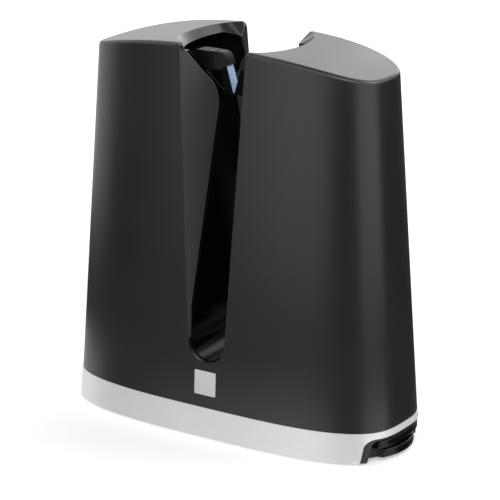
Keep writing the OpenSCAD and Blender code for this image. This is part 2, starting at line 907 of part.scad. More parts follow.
module stone_profile() {
    up = stone_face + stone_root;
    polygon([on_plate(stone_t * tan(stone_lean), 0), on_plate(up, 0), on_plate(up, stone_t),
        on_plate(stone_t * tan(stone_lean), stone_t)]);
}

// The holder and its carrier behind the plate, drawn as x and z
module holder_profile() {
    back = stone_t + carrier_t;
    low = on_plate(back * tan(stone_lean), back);
    nose = on_plate(stone_face, -nose_proud);
    polygon(concat(
        [on_plate(stone_t * tan(stone_lean), 0), on_plate(stone_face, 0), nose],
        [for (turn = [0:15:75])
            [nose[0] - nose_set - nose_round * (1 - cos(turn)),
                head_top - nose_round * (1 - sin(turn))]],
        [[-holder_x + holder_clearance, head_top],
            [-holder_x + holder_clearance, head_z], [on_plate(stone_face - throat, back)[0], head_z],
            low]));
}

module holder_shape() {
    difference() {
        union() {
            along_y(arm_front + holder_clearance, arm_back - holder_clearance)
                holder_profile();
            tongue(0, head_top);
        }
        along_y(arm_front + holder_clearance + cheek, arm_back - holder_clearance - cheek)
            stone_profile();
    }
}

module stone_shape() {
    along_y(arm_front + holder_clearance + cheek, arm_back - holder_clearance - cheek)
        stone_profile();
}

module left_holder() {
    color("#232324")
        holder_shape();
}

module left_stone() {
    color("#a9c9e4")
        stone_shape();
}

// A spare holder or plate lying on the floor of the tray
module as_spare(n) {
    floor_z = tray_z + tray_wall;
    middle = (holder_x + 2 * tongue_step) / 2;
    translate([tray_x + spare_from + n * spare_step, 0, floor_z])
        rotate([90, 0, 0])
            translate([middle, -arm_front - holder_clearance, -(head_top + tip_z) / 2])
                children();
}

module spare_holders() {
    color("#232324")
    for (n = [0, 1])
        as_spare(n)
            holder_shape();
}

module spare_stones() {
    color("#e6e8ea")
    for (n = [0, 1])
        as_spare(n)
            stone_shape();
}

module deck_screws() {
    color("#8f9296")
    for (p = concat(shell_screws(), liner_screws()))
        screw_up(p[0], p[1], deck_z);
}

module base_screws() {
    color("#8f9296")
    for (p = plate_screws())
        screw_up(p[0], p[1], bottom_z);
}

module bracket_screws() {
    color("#8f9296")
    for (p = bracket_holes())
        translate([p[0], p[1], deck_top + bracket_t]) {
            cylinder(h = screw_head_h, r = screw_head);
            translate([0, 0, -bracket_t - deck_t])
                cylinder(h = bracket_t + deck_t, r = screw_radius);
        }
}

// The right side mirrors the left
module right_side() {
    mirror([1, 0, 0])
        children();
}

module right_bracket() { right_side() left_bracket(); }
module right_axle() { right_side() left_axle(); }
module right_axle_clips() { right_side() left_axle_clips(); }
module right_spring() { right_side() left_spring(); }
module right_bumper() { right_side() left_bumper(); }
module right_arm() { right_side() left_arm(); }
module right_bush() { right_side() left_bush(); }
module right_holder() { right_side() left_holder(); }
module right_stone() { right_side() left_stone(); }

housing_shell();
slot_liner();
base_band();
base_deck();
bottom_plate();
rubber_feet();
badge_tile();
drawer_surround();
drawer_rails();
drawer_tray();
drawer_front();
spare_holders();
spare_stones();
left_bracket();
right_bracket();
left_axle();
right_axle();
left_axle_clips();
right_axle_clips();
left_spring();
right_spring();
left_bumper();
right_bumper();
left_arm();
right_arm();
left_bush();
right_bush();
left_holder();
right_holder();
left_stone();
right_stone();
deck_screws();
base_screws();
bracket_screws();
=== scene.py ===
from math import acos, atan, cos, pi, radians, sin, sqrt, tan

import bmesh
import bpy
import numpy as np
from bpy.props import FloatProperty, FloatVectorProperty, PointerProperty
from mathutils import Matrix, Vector


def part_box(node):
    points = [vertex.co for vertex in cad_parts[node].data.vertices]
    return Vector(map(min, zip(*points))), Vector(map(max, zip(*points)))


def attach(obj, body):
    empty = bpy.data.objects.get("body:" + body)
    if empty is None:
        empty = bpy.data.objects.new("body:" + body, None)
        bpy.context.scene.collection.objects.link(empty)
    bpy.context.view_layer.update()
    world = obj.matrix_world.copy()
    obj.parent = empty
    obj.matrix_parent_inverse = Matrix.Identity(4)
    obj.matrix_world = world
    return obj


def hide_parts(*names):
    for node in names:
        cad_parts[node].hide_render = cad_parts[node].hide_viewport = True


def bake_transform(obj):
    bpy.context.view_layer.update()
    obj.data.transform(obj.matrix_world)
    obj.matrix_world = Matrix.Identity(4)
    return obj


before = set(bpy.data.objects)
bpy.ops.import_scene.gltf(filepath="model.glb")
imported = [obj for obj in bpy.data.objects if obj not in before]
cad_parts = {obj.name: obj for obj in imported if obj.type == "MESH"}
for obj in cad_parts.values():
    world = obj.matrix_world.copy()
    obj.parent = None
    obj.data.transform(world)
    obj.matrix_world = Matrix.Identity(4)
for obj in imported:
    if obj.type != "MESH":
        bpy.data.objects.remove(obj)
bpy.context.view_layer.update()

bl_info = {
    "name": "Manual knife sharpener",
    "version": (1, 0, 0),
    "blender": (4, 5, 0),
    "location": "View3D > Sidebar > Sharpener",
    "description": "Dresses the packed knife sharpener: hood, liner, base, drawer, arms and stage",
    "category": "Object",
}

MM = 0.001

# Shape of the hood, in millimetres like all the shapes that follow
HEIGHT, OUTLINE_POWER = 200.0, 3.23
BASE_LENGTH, BASE_DEPTH = 188.0, 78.0
TOP_LENGTH, TOP_DEPTH = 161.5, 59.6
TOP_Z, TOP_DROP, TOP_POWER = 199.4, 9.6, 2.5
CREST_Z, FRONT_ROLL, REAR_ROLL = 196, 1.4, 2.6
HOOD_WALL, HOOD_TOP, BAND_TOP = 2.6, 4.0, 16.3
# Rounding of the top edge at the slot, and the share of the way to the end where it is full
SLOT_END_EDGE, EDGE_GROWS = 0.6, 0.06
# Mesh of the hood: where its columns are spaced, which ones are close to the slot, and its rows
SPACING_Z, SLOT_COLUMNS, EVEN_FROM, EVEN_COLUMNS = 100, (0, 1.1, 2.1, 3.2), 5, 50
LOW_ROWS, HIGH_ROWS, TOP_ROWS, BEND_STEPS, SLOT_FOOT_PARTS = 8, 22, 8, 4, 28
# Mesh of the panels, webs and wings, and the most that their free edge is rounded, as shares of
# their thickness and their depth
PANEL_ROWS, WEB_ROWS, WING_ROWS, REAR_WING_ROWS, SLAB_COLUMNS = 60, 40, 70, 60, 8
SLAB_BEND_T, SLAB_BEND_Y = 0.95, 0.8
# Parts of other round shapes, and rows of the liner and the band
LINER_ROWS, CHANNEL_PARTS, BOSS_PARTS, ARCH_PARTS, NOSE_PARTS = 30, 32, 32, 32, 9
BAND_LOW_ROWS, BAND_HIGH_ROWS, FOOT_PARTS, SCREW_PARTS = 4, 6, 48, 24
QUARTER = [radians(18 * k) for k in range(6)]
# Points along the outlines when their lengths are measured
OUTLINE_FINE, RING_FINE = 6000, 20000
# Shape of the slot
CHANNEL_HALF, CHANNEL_Z = 10.2, 50.5
SLOT_HALF = CHANNEL_HALF + 0.6
FLARE_SLOPE, FLARE_OPEN = 0.26, 0.268
PANEL_T, LINER_WALL, FIT_GAP = 1.8, 1.8, 0.1
PANEL_LOW, PANEL_HIGH, PANEL_IN, PANEL_GAP = 63, 197.2, 2.0, 0.02
LINER_INSET, LINER_TOP, LINER_EDGE = HOOD_WALL + 0.3, HEIGHT - 27.5, 0.5
WING_TOP, REAR_WING_TOP, WING_OVER, WING_EDGE = 194.2, 184.6, 4, 0.7
BOSS_Y, BOSS = 12, ((3.9, 16.0), (4.5, 16.6), (5.0, 39.4), (5.0, 40.2))
WINDOW_Z, WINDOW_OPEN, WINDOW_ROUND = HEIGHT - 28.6, 0.87, 16.0
REAR_OPEN, RIM_SHOW = 1.85, 2.4
# Shape of the mouth and its rim
MOUTH_HALF, MOUTH_RADIUS, MOUTH_END = 29.5, 48.0, 26.8
PULL_POWER, TURN_SHARE = 6, 0.3
RIM_BACK, RIM_FORE, RIM_FRONT_DROP, RIM_REAR_DROP = 2.2, 1.2, 5.0, 3.6
RIM_SHARE, RIM_GROWS = 0.55, 0.1
# Free edge of the small webs behind the mouth: heights, and distances from the middle
WEB_Z = 176.0, 180.0, 185.0, 190.0, 192.4, 193.4, 194.3, 195.4, 197.0, 197.6
WEB_Y = 27.6, 26.0, 24.0, 22.0, 21.0, 21.0, 21.8, 23.7, 26.4, 27.3
WEB_TIP_Y, WEB_TIP_Z, WEB_SLOPE, WEB_LEVEL, WEB_GAP = 21.0, 193.4, 0.667, 195, 0.1
# Share of the way to the end where the rear rim begins to widen to the webs, and over how much
WEB_FROM, WEB_BLEND = 0.36, 0.16
# Shape of the base
BAND_LOW, BAND_PROUD, BAND_WALL = 0.8, 0.4, 3.0
BAND_SPACING_Z, BAND_COLUMNS = 8, 120
ARCH_HALF, ARCH_FLARE, ARCH_TOP, ARCH_ROUND = 26.0, 1.5, 13.0, 5.0
ARCH_CORNER = ARCH_TOP - ARCH_ROUND
BADGE_CORNER, BADGE_RINGS = 0.5, ((0.0, 0.7), (0.0, -0.15), (0.06, -0.26), (0.16, -0.3))
# Shape of the drawer front, and of the legs and feet of its surround
LIP_RADIUS, LIP_TOP, LEDGE_LOW = 30.0, 5.8, 7.4
LIP_HALF, LIP_CUT, LIP_COLUMNS, LIP_STUB = 14.6, 1.0, 33, 0.3
GROOVE_IN, LEDGE_IN = 5.0, 0.8
LEG_WIDE, LEG_SINK, LEG_BACK, LEG_TOP, LEG_STEP, LEG_START = 3.5, 1.0, 0.15, 11.6, 0.8, 2.5
LEG_ROUND, SURROUND_EDGE = ARCH_ROUND - 1.2, 0.35
FOOT_TOP, FOOT_IN, FOOT_OVER = 2.4, 19.4, 0.4
# Shape of the arms, the holders and the plates
ARM_Y, ARM_T, HEAD_TOP, HEAD_LOW, HOLDER_X = -8.0, 7.0, 192.3, 183.3, 12.0
PLATE_LEAN, PLATE_TIP_X, PLATE_TIP_Z = radians(16.7), 0.25, 172.0
PLATE_FACE, PLATE_ROOT, PLATE_T = 14.4, 2.0, 1.4
CARRIER_T, NOSE_PROUD, NOSE_ROUND, THROAT = 3.0, 1.2, 4.5, 3.0
SEAM, SEAM_DEPTH, CHEEK, CLEARANCE = (0.0, 0.08, 0.42, 0.5), 0.4, 0.5, 0.12
TONGUE_NECK, TONGUE_HEAD, TONGUE_STEP, TONGUE_FLOOR, TONGUE_ROOT = 2.2, 4.0, 2.4, 2.0, 1
# Part of the arms whose rims are rounded
RIM_BELOW_HEAD, RIM_PAST_JOINT = 20, 0.1
# Places of the two spares in the drawer
SPARE_X, SPARE_STEP, SPARE_Z = 7.947, 22.0, 3.8
# Sections of the turned parts: radius and height
RUBBER_FOOT = ((5.6, 0.8), (6.0, 0.7), (6.0, 0.25), (5.8, 0.08), (5.5, 0.0), (4.4, 0.0),
               (4.1, 0.12), (0.4, 0.12))
SCREW_UP = ((0.9, 0.55), (1.15, 0.1), (1.6, 0.0), (2.2, 0.06), (2.45, 0.3), (2.5, 0.6), (2.5, 1.0),
            (1.25, 1.0), (1.25, 7.6), (0.7, 8.0))
SCREW_DOWN = ((0.7, 0.0), (1.25, 0.4), (1.25, 6.0), (2.5, 6.0), (2.5, 6.4), (2.45, 6.7),
              (2.2, 6.94), (1.6, 7.0), (1.15, 6.9), (0.9, 6.45))
# Shares of the full rounding for the lower edge of the band and for the heads of the holders
BAND_LOW_SHARE, HEAD_SHARE = 0.8, 0.6
# How close points have to be to count as one, how finely edges are told apart, and shading
SKIN_MERGE, COPY_MERGE, KEYS_PER_MM = 0.002 * MM, 0.001 * MM, 50
FLAT, SHARP, BEVEL_ANGLE, BEVEL_SEGMENTS = radians(0.2), radians(35), radians(40), 3
# Size of the clouds of tone in plastics, and tones of the lines in metals
CLOUD, LINE_TONES = 28, (0.94, 1.05)
# Stage, in metres. Dark cards round the object: from and to in degrees from the front towards
# the drawer, height, and grey level
CARDS = (-66, -32, 0.6, 0.02), (5, 50, 0.6, 0.02), (118, 160, 0.3, 0.03), (160, 212, 0.55, 0.2)
CARD_REACH, CARD_FOOT, CARD_PARTS = 2, -1.2, 12
BELOW_RADII, BELOW_Z, BELOW_PARTS, BELOW_GREY = ((0.2, 0.13), (0.5, 0.42)), 0.001, 48, 0.05
ABOVE, ABOVE_GREY = (0.8, -1.0, 0.8, 2.2), 0.1
FLOOR_REACH, PAPER, PAPER_GLOW, FILL = 6.0, 0.93, 0.38, 0.6
# Lamps: name, place, size and power
LAMPS = (("key_right", (0.75, -1.1, 0.95), 0.9, 5.0), ("rim_right", (0.82, 0.47, 0.9), 0.4, 3.0),
         ("back_low", (-0.18, 1.25, 0.49), 0.6, 3.4), ("back_panel", (-0.72, 0.94, 0.65), 0.8, 1.6))
LAMP_AIM = Vector((0, 0, 0.1))
CAMERA_TURN, CAMERA_RISE, CAMERA_REACH = radians(33.24), radians(17.74), 1272.62 * MM
CAMERA_AIM = Vector((2.15 * MM, 0, 89.35 * MM))


def linear(code):
    """An sRGB hex colour as linear values."""
    parts = [int(code[i:i + 2], 16) / 255 for i in (1, 3, 5)]
    return tuple(c / 12.92 if c <= 0.04045 else ((c + 0.055) / 1.055) ** 2.4 for c in parts)


def rounding(label, where, width):
    return FloatProperty(name=label, description="Rounding of " + where, default=width * MM,
                         unit="LENGTH")


def tint(label, what, code):
    return FloatVectorProperty(name=label, description=what, subtype="COLOR", default=linear(code))


class SharpenerSizes(bpy.types.PropertyGroup):
    """Roundings that a maker may change."""
    top_edge: rounding("Top edge", "the hood's top edge", 2.2)
    slot_edge: rounding("Slot edge", "the hood's edge along the slot", 0.75)
    rim_edge: rounding("Mouth rim", "the two edges of the mouth's rim", 0.4)
    panel_edge: rounding("Panel edge", "the free edge of the flared panels", 1.1)
    band_edge: rounding("Band edge", "the edges of the silver band", 0.45)
    drawer_edge: rounding("Drawer edge", "the edges of the drawer front", 0.5)
    arm_edge: rounding("Arm edge", "the edges of the arms and holders", 0.5)


class SharpenerColours(bpy.types.PropertyGroup):
    """Colours of the finishes."""
    hood: tint("Hood", "Matte black moulding of the hood", "#151516")
    liner: tint("Liner", "Polished black moulding of the slot", "#050505")
    band: tint("Band", "Satin silver of the base band", "#f4f4f6")
    arm: tint("Arms", "Grey moulding of the arms", "#151516")
    plate: tint("Plates", "Pale blue abrasive plates", "#bddaf2")
    badge: tint("Badge", "Light grey badge tile", "#d8d8d8")


# Outline of the hood


def evenly(first, last, count):
    """Values from first to last in equal steps."""
    return [first + (last - first) * k / count for k in range(count + 1)]


def turns(first, last, count):
    """Equal steps between two angles in degrees, as radians."""
    return [radians(a) for a in evenly(first, last, count)]


def smooth(v):
    v = min(1.0, max(0.0, v))
    return v * v * (3 - 2 * v)


def run_along(points):
    """Length of a line up to each of its points."""
    return np.concatenate([[0], np.cumsum(np.hypot(*np.diff(points, axis=0).T))])


def half_len(z):
    return (BASE_LENGTH + (TOP_LENGTH - BASE_LENGTH) * z / HEIGHT) / 2


def half_dep(z):
    return (BASE_DEPTH + (TOP_DEPTH - BASE_DEPTH) * z / HEIGHT) / 2


def top_z(x, y, size):
    """Height of the arched top, which rolls down beside the slot."""
    beside = abs(x) - slot_x(-abs(y), CREST_Z)
    near = size - min(size, max(0.0, beside))
    roll = size - sqrt(size ** 2 - near ** 2)
    return TOP_Z - TOP_DROP * (abs(x) / (TOP_LENGTH / 2)) ** TOP_POWER - roll


def bulge(place_in, reach, height):
    """Height of the outline's curve at a place along its reach."""
    share = min(1.0, abs(place_in) / reach)
    return height * (1 - share ** OUTLINE_POWER) ** (1 / OUTLINE_POWER)


def face_y(x, z, grow=0.0):
    """Distance of the front or back face from the middle, at a place along it."""
    return bulge(x, half_len(z) + grow, half_dep(z) + grow)


def end_x(y, z, grow=0.0):
    """Distance of the rounded end from the middle, at a place across it."""
    return bulge(y, half_dep(z) + grow, half_len(z) + grow)


def flare_y(z):
    """Place of the inner edge of the front panels."""
    return FLARE_SLOPE * (z - CHANNEL_Z) - half_dep(CHANNEL_Z)


def slot_x(y, z):
    """Half the width of the slot in the hood."""
    if z <= CHANNEL_Z:
        return SLOT_HALF
    return SLOT_HALF + FLARE_OPEN * max(0.0, flare_y(z) - y)


def outline_point(t, z, grow):
    power = 2 / OUTLINE_POWER
    across = max(0.0, sin(t)) ** power
    return (half_len(z) + grow) * cos(t) ** power, -(half_dep(z) + grow) * across


def outline_shares():
    """Shares of the turn from the slot to the end: close together beside the slot, then even."""
    start = acos((SLOT_HALF / half_len(SPACING_Z)) ** (OUTLINE_POWER / 2))
    fine = np.linspace(start, 0, OUTLINE_FINE)
    run = run_along(np.array([outline_point(t, SPACING_Z, 0) for t in fine]))
    places = np.concatenate([SLOT_COLUMNS, np.linspace(EVEN_FROM, run[-1], EVEN_COLUMNS)])
    return np.interp(places, run, fine) / start, places / run[-1]


def hood_point(share, z_ring, inset, z):
    """A point of the front quarter of the hood: share 1 is at the slot, 0 at the end."""
    a, b = half_len(z_ring) - inset, half_dep(z_ring) - inset
    x = slot_x(-b, z)
    for _ in range(3):
        x = slot_x(-bulge(x, a, b), z)
    start = acos((x / a) ** (OUTLINE_POWER / 2))
    px, py = outline_point(start * share, z_ring, -inset)
    return px, py, z


# Mesh making


class Skin:
    """Collects points in millimetres and faces, with the edges to round and each face's tone."""

    def __init__(self):
        self.points, self.faces, self.tones, self.soft = [], [], [], {}

    def face(self, corners, tone):
        self.faces.append(tuple(corners))
        self.tones.append(tone)

    def add(self, rows, close_points=False, tone=1.0):
        """Faces between neighbouring rows of points."""
        start, count = len(self.points), len(rows[0])
        for row in rows:
            self.points.extend(tuple(p) for p in row)
        for r in range(len(rows) - 1):
            here, there = start + r * count, start + (r + 1) * count
            for c in range(count if close_points else count - 1):
                d = (c + 1) % count
                self.face((here + c, here + d, there + d, there + c), tone)

    def cap(self, row, tone=1.0):
        start = len(self.points)
        self.points.extend(tuple(p) for p in row)
        self.face(range(start, start + len(row)), tone)

    def tube(self, loops, tone=1.0):
        """A closed body between neighbouring loops, with a face at each end."""
        self.add(loops, close_points=True, tone=tone)
        self.cap(loops[0], tone)
        self.cap(loops[-1], tone)

    def join(self, other, turn=tuple):
        """Adds another skin, with its points moved."""
        start = len(self.points)
        self.points += [turn(p) for p in other.points]
        for corners, tone in zip(other.faces, other.tones):
            self.face([i + start for i in corners], tone)
        for ends, size in other.soft.values():
            self.round_line([turn(p) for p in ends], size)

    def round_line(self, row, size=1.0):
        """Marks the edges along a row of points, with their share of the full rounding."""
        for p, q in zip(row, row[1:]):
            self.soft[frozenset((key(p), key(q)))] = ((p, q), size)

    def build(self, name):
        mesh = bpy.data.meshes.new(name)
        mesh.from_pydata([[v * MM for v in p] for p in self.points], [], self.faces)
        mesh.attributes.new("tone", "FLOAT", "FACE").data.foreach_set("value", self.tones)
        bm = merged(mesh, SKIN_MERGE)
        bmesh.ops.dissolve_degenerate(bm, edges=bm.edges, dist=SKIN_MERGE)
        bmesh.ops.recalc_face_normals(bm, faces=bm.faces)
        weight = bm.edges.layers.float.new("bevel_weight_edge")
        for edge in bm.edges:
            pair = frozenset(key([v / MM for v in vert.co]) for vert in edge.verts)
            edge[weight] = self.soft[pair][1] if pair in self.soft else 0.0
        bm.to_mesh(mesh)
        bm.free()
        return new_piece(name, mesh)


def in_mirror(p):
    return -p[0], p[1], p[2]


def key(p):
    return tuple(round(v * KEYS_PER_MM) for v in p)


def circle(radius, z, parts, y=0.0):
    angles = [2 * pi * k / parts for k in range(parts)]
    return [(radius * cos(a), y + radius * sin(a), z) for a in angles]


def merged(mesh, gap):
    """A mesh to work on, in which points that lie together are one."""
    bm = bmesh.new()
    bm.from_mesh(mesh)
    bmesh.ops.remove_doubles(bm, verts=bm.verts, dist=gap)
    return bm


def add_object(name, data):
    thing = bpy.data.objects.new(name, data)
    bpy.context.scene.collection.objects.link(thing)
    return thing


def new_piece(name, mesh):
    for polygon in mesh.polygons:
        polygon.use_smooth = True
    mesh.set_sharp_from_angle(angle=SHARP)
    return add_object(name, mesh)


def round_edges(piece, width, weighted=True):
    bevel = piece.modifiers.new("edge_rounding", "BEVEL")
    bevel.width = width
    bevel.segments = BEVEL_SEGMENTS
    bevel.limit_method = "WEIGHT" if weighted else "ANGLE"
    bevel.angle_limit = BEVEL_ANGLE
    bevel.use_clamp_overlap = True
    bevel.miter_outer = "MITER_ARC"
    normals = piece.modifiers.new("even_shading", "WEIGHTED_NORMAL")
    normals.keep_sharp = True


def own_copy(node, name, soft=None, ring=False):
    """A merged copy of a CAD node's mesh, with whole flat faces; soft picks the edges to round.

    With ring, faces that run round an opening are split again, so that none of them covers it.
    """
    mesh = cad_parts[node].data.copy()
    mesh.name = name
    mesh.materials.clear()
    bm = merged(mesh, COPY_MERGE)
    bmesh.ops.dissolve_limit(bm, angle_limit=FLAT, verts=bm.verts, edges=bm.edges)
    if ring:
        bmesh.ops.connect_verts_concave(bm, faces=bm.faces)
    if soft:
        weight = bm.edges.layers.float.new("bevel_weight_edge")
        for edge in bm.edges:
            edge[weight] = float(soft(*(vert.co / MM for vert in edge.verts)))
    bm.to_mesh(mesh)
    bm.free()
    return new_piece(name, mesh)


def place(piece, body, finish, node):
    """Gives a piece its body and its finish, and hides the CAD node that it stands for."""
    piece.data.materials.clear()
    piece.data.materials.append(FINISHES[finish])
    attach(piece, body)
    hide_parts(node)


def dress_copy(node, name, edge, body, slot, finish, ring=False):
    """Puts a copy with rounded edges in a CAD node's place."""
    piece = own_copy(node, name, ring=ring)
    round_edges(piece, edge * MM, weighted=False)
    place(piece, body, finish, node)


# Materials


def add_node(tree, kind, settings=None, **inputs):
    """Adds a node, sets its properties, and fills its inputs by name or number.

    An input gets a value, a socket, or a node, which stands for its first output.
    """
    node = tree.nodes.new(kind)
    for name, value in (settings or {}).items():
        setattr(node, name, value)
    for name, value in inputs.items():
        socket = node.inputs[int(name[1:]) if name[0] == "_" else name.replace("_", " ")]
        if isinstance(value, bpy.types.Node):
            value = value.outputs[0]
        if isinstance(value, bpy.types.NodeSocket):
            tree.links.new(value, socket)
        else:
            socket.default_value = value
    return node


def new_material(name):
    material = bpy.data.materials.new(name)
    material.use_nodes = True
    tree = material.node_tree
    tree.nodes.clear()
    return material, tree


def ramp(tree, factor, low, high):
    """A colour ramp between two linear colours."""
    node = add_node(tree, "ShaderNodeValToRGB", Fac=factor)
    node.color_ramp.elements[0].color = (*low, 1)
    node.color_ramp.elements[1].color = (*high, 1)
    return node


def end_material(tree, base, rough, sheen, depth, relief, **more):
    """The shader: roughness and its spread follow one pattern, and another gives fine relief."""
    level, spread = rough
    gloss = add_node(tree, "ShaderNodeMapRange", Value=sheen, To_Min=level - spread,
                     To_Max=level + spread)
    bump = add_node(tree, "ShaderNodeBump", Height=relief, Strength=1.0, Distance=depth * MM)
    shader = add_node(tree, "ShaderNodeBsdfPrincipled", Base_Color=base, Roughness=gloss,
                      Normal=bump, **more)
    add_node(tree, "ShaderNodeOutputMaterial", Surface=shader)


def moulded_plastic(name, colour, rough, grain, ior=1.5, tone=0.12, painted_lighting=None):
    """A moulded thermoplastic with faint clouds of tone and gloss, perhaps with painted light or
    shade in a second colour on some faces.

    rough is the roughness and its spread, grain the size and depth of the tool texture.
    """
    material, tree = new_material(name)
    where = add_node(tree, "ShaderNodeTexCoord").outputs["Object"]
    cloud, texture = (add_node(tree, "ShaderNodeTexNoise", Vector=where, Scale=1 / (size * MM),
                               Detail=2.0) for size in (CLOUD, grain[0]))
    base = ramp(tree, cloud, [c * (1 - tone) for c in colour], [c * (1 + tone) for c in colour])
    # Faces whose tone is 0 take the second colour instead: painted light on the hood's panels,
    # painted shade on the holders' carriers
    if painted_lighting:
        share = add_node(tree, "ShaderNodeAttribute", {"attribute_name": "tone"}).outputs["Fac"]
        base = add_node(tree, "ShaderNodeMixRGB", Fac=share, Color1=(*painted_lighting, 1), Color2=base)
    end_material(tree, base, rough, cloud, grain[1], texture, IOR=ior)
    return material


def satin_metal(name, colour, rough, grain, drawn, metallic=1.0):
    """A metal with fine working lines, drawn out along the axes with a small scale."""
    material, tree = new_material(name)
    where = add_node(tree, "ShaderNodeTexCoord").outputs["Object"]
    along = add_node(tree, "ShaderNodeMapping", Vector=where, Scale=drawn)
    lines = add_node(tree, "ShaderNodeTexNoise", Vector=along, Scale=1 / (grain[0] * MM),
                     Detail=3.0)
    base = ramp(tree, lines, *([min(1, c * tone) for c in colour] for tone in LINE_TONES))
    end_material(tree, base, rough, lines, grain[1], lines, Metallic=metallic)
    return material


FINISHES = {}


def make_finishes(colours):
    """All finishes of the object, named for the real material."""
    FINISHES.update(
        # Spark-eroded ABS: an even, slightly silky black; faces with tone 0, the flared panels
        # beside the slot and the front end faces of the wall there, take a paler grey that is
        # painted light; the grain is drawn coarser than life so that it shows
        hood=moulded_plastic("textured_abs_black", colours.hood, (0.36, 0.03), (0.5, 0.005),
                             ior=1.7, tone=0.06, painted_lighting=linear("#4c4c4d")),
        # Polished ABS: piano black with clear reflections and hardly any waviness
        liner=moulded_plastic("polished_abs_black", colours.liner, (0.12, 0.02), (6.0, 0.004),
                              ior=1.4),
        # Silver-lacquered ABS: metal flakes in a clear binder, so it is less than half a mirror
        # and otherwise an even light grey
        band=satin_metal("satin_silver_lacquer", colours.band, (0.4, 0.04), (0.6, 0.001),
                         (0.04, 0.04, 1.0), metallic=0.3),
        # Moulded glass-filled nylon inside the base: plain dull black
        inner=moulded_plastic("moulded_nylon_black", linear("#2b2b2c"), (0.6, 0.05), (0.8, 0.02)),
        # Thermoplastic rubber: dull, without a clear highlight
        rubber=moulded_plastic("moulded_rubber_black", linear("#1c1c1c"), (0.85, 0.05),
                               (0.5, 0.03)),
        # Painted tile: light grey with an even satin face
        badge=moulded_plastic("painted_tile_grey", colours.badge, (0.35, 0.03), (1.2, 0.004),
                              tone=0.02),
        # Satin ABS of the drawer surround: dark grey
        surround=moulded_plastic("satin_abs_grey", linear("#2e2e2f"), (0.42, 0.04), (0.5, 0.008)),
        # Polished ABS of the drawer: black with clear highlights
        drawer=moulded_plastic("polished_abs_drawer", linear("#0a0a0b"), (0.2, 0.03), (4.0, 0.004),
                               ior=1.38),
        # Glass-filled nylon of the arms: dark grey satin
        arm=moulded_plastic("satin_nylon_grey", colours.arm, (0.38, 0.04), (0.45, 0.008), ior=1.33),
        # The same nylon: the head is painted a lighter grey, with a low IOR, so that its colour
        # stands in for part of its reflection, painted reflection; the carrier behind the plate is
        # painted near-black, painted shade
        holder=moulded_plastic("nylon_painted_sheen_and_shade", linear("#28282a"), (0.38, 0.04), (0.45, 0.008),
                               ior=1.2, painted_lighting=linear("#030303")),
        # Sintered ceramic: pale blue, or white for the spares, with a fine abrasive grit
        plate=moulded_plastic("sintered_ceramic_blue", colours.plate, (0.55, 0.06), (0.35, 0.03),
                              tone=0.06),
        spare_plate=moulded_plastic("sintered_ceramic_white", linear("#e4e6e8"), (0.55, 0.06),
                                    (0.35, 0.03), tone=0.04),
        # Zinc-plated steel: bright grey with drawing lines
        steel=satin_metal("zinc_plated_steel", linear("#b4b7ba"), (0.3, 0.08), (0.3, 0.004),
                          (1.0, 0.1, 1.0)),
        # Sintered bronze: warm and slightly porous
        bronze=satin_metal("sintered_bronze", linear("#b08d57"), (0.42, 0.1), (0.25, 0.01),
                           (1.0, 1.0, 1.0)))


# Pieces of the hood and the slot


def mouth_point(share, z):
    """A point of the curved side of the mouth, and the way into the wall there."""
    y = -MOUTH_END * share
    plain = lambda v: MOUTH_HALF - MOUTH_RADIUS + sqrt(MOUTH_RADIUS ** 2 - v * v)
    pull = plain(MOUTH_END) - slot_x(-MOUTH_END, z)
    x = plain(y) - pull * share ** PULL_POWER
    turn = smooth((1 - share) / TURN_SHARE)
    way = Vector(((x - MOUTH_HALF + MOUTH_RADIUS) / MOUTH_RADIUS * turn,
                  y / MOUTH_RADIUS * turn - (1 - turn)))
    return Vector((x, y)), way.normalized()


def bent(before, corner, after):
    """Points of a small rounding from one place past a corner to another."""
    for t in evenly(0, 1, BEND_STEPS):
        yield tuple(before * (1 - t) ** 2 + corner * 2 * t * (1 - t) + after * t ** 2)


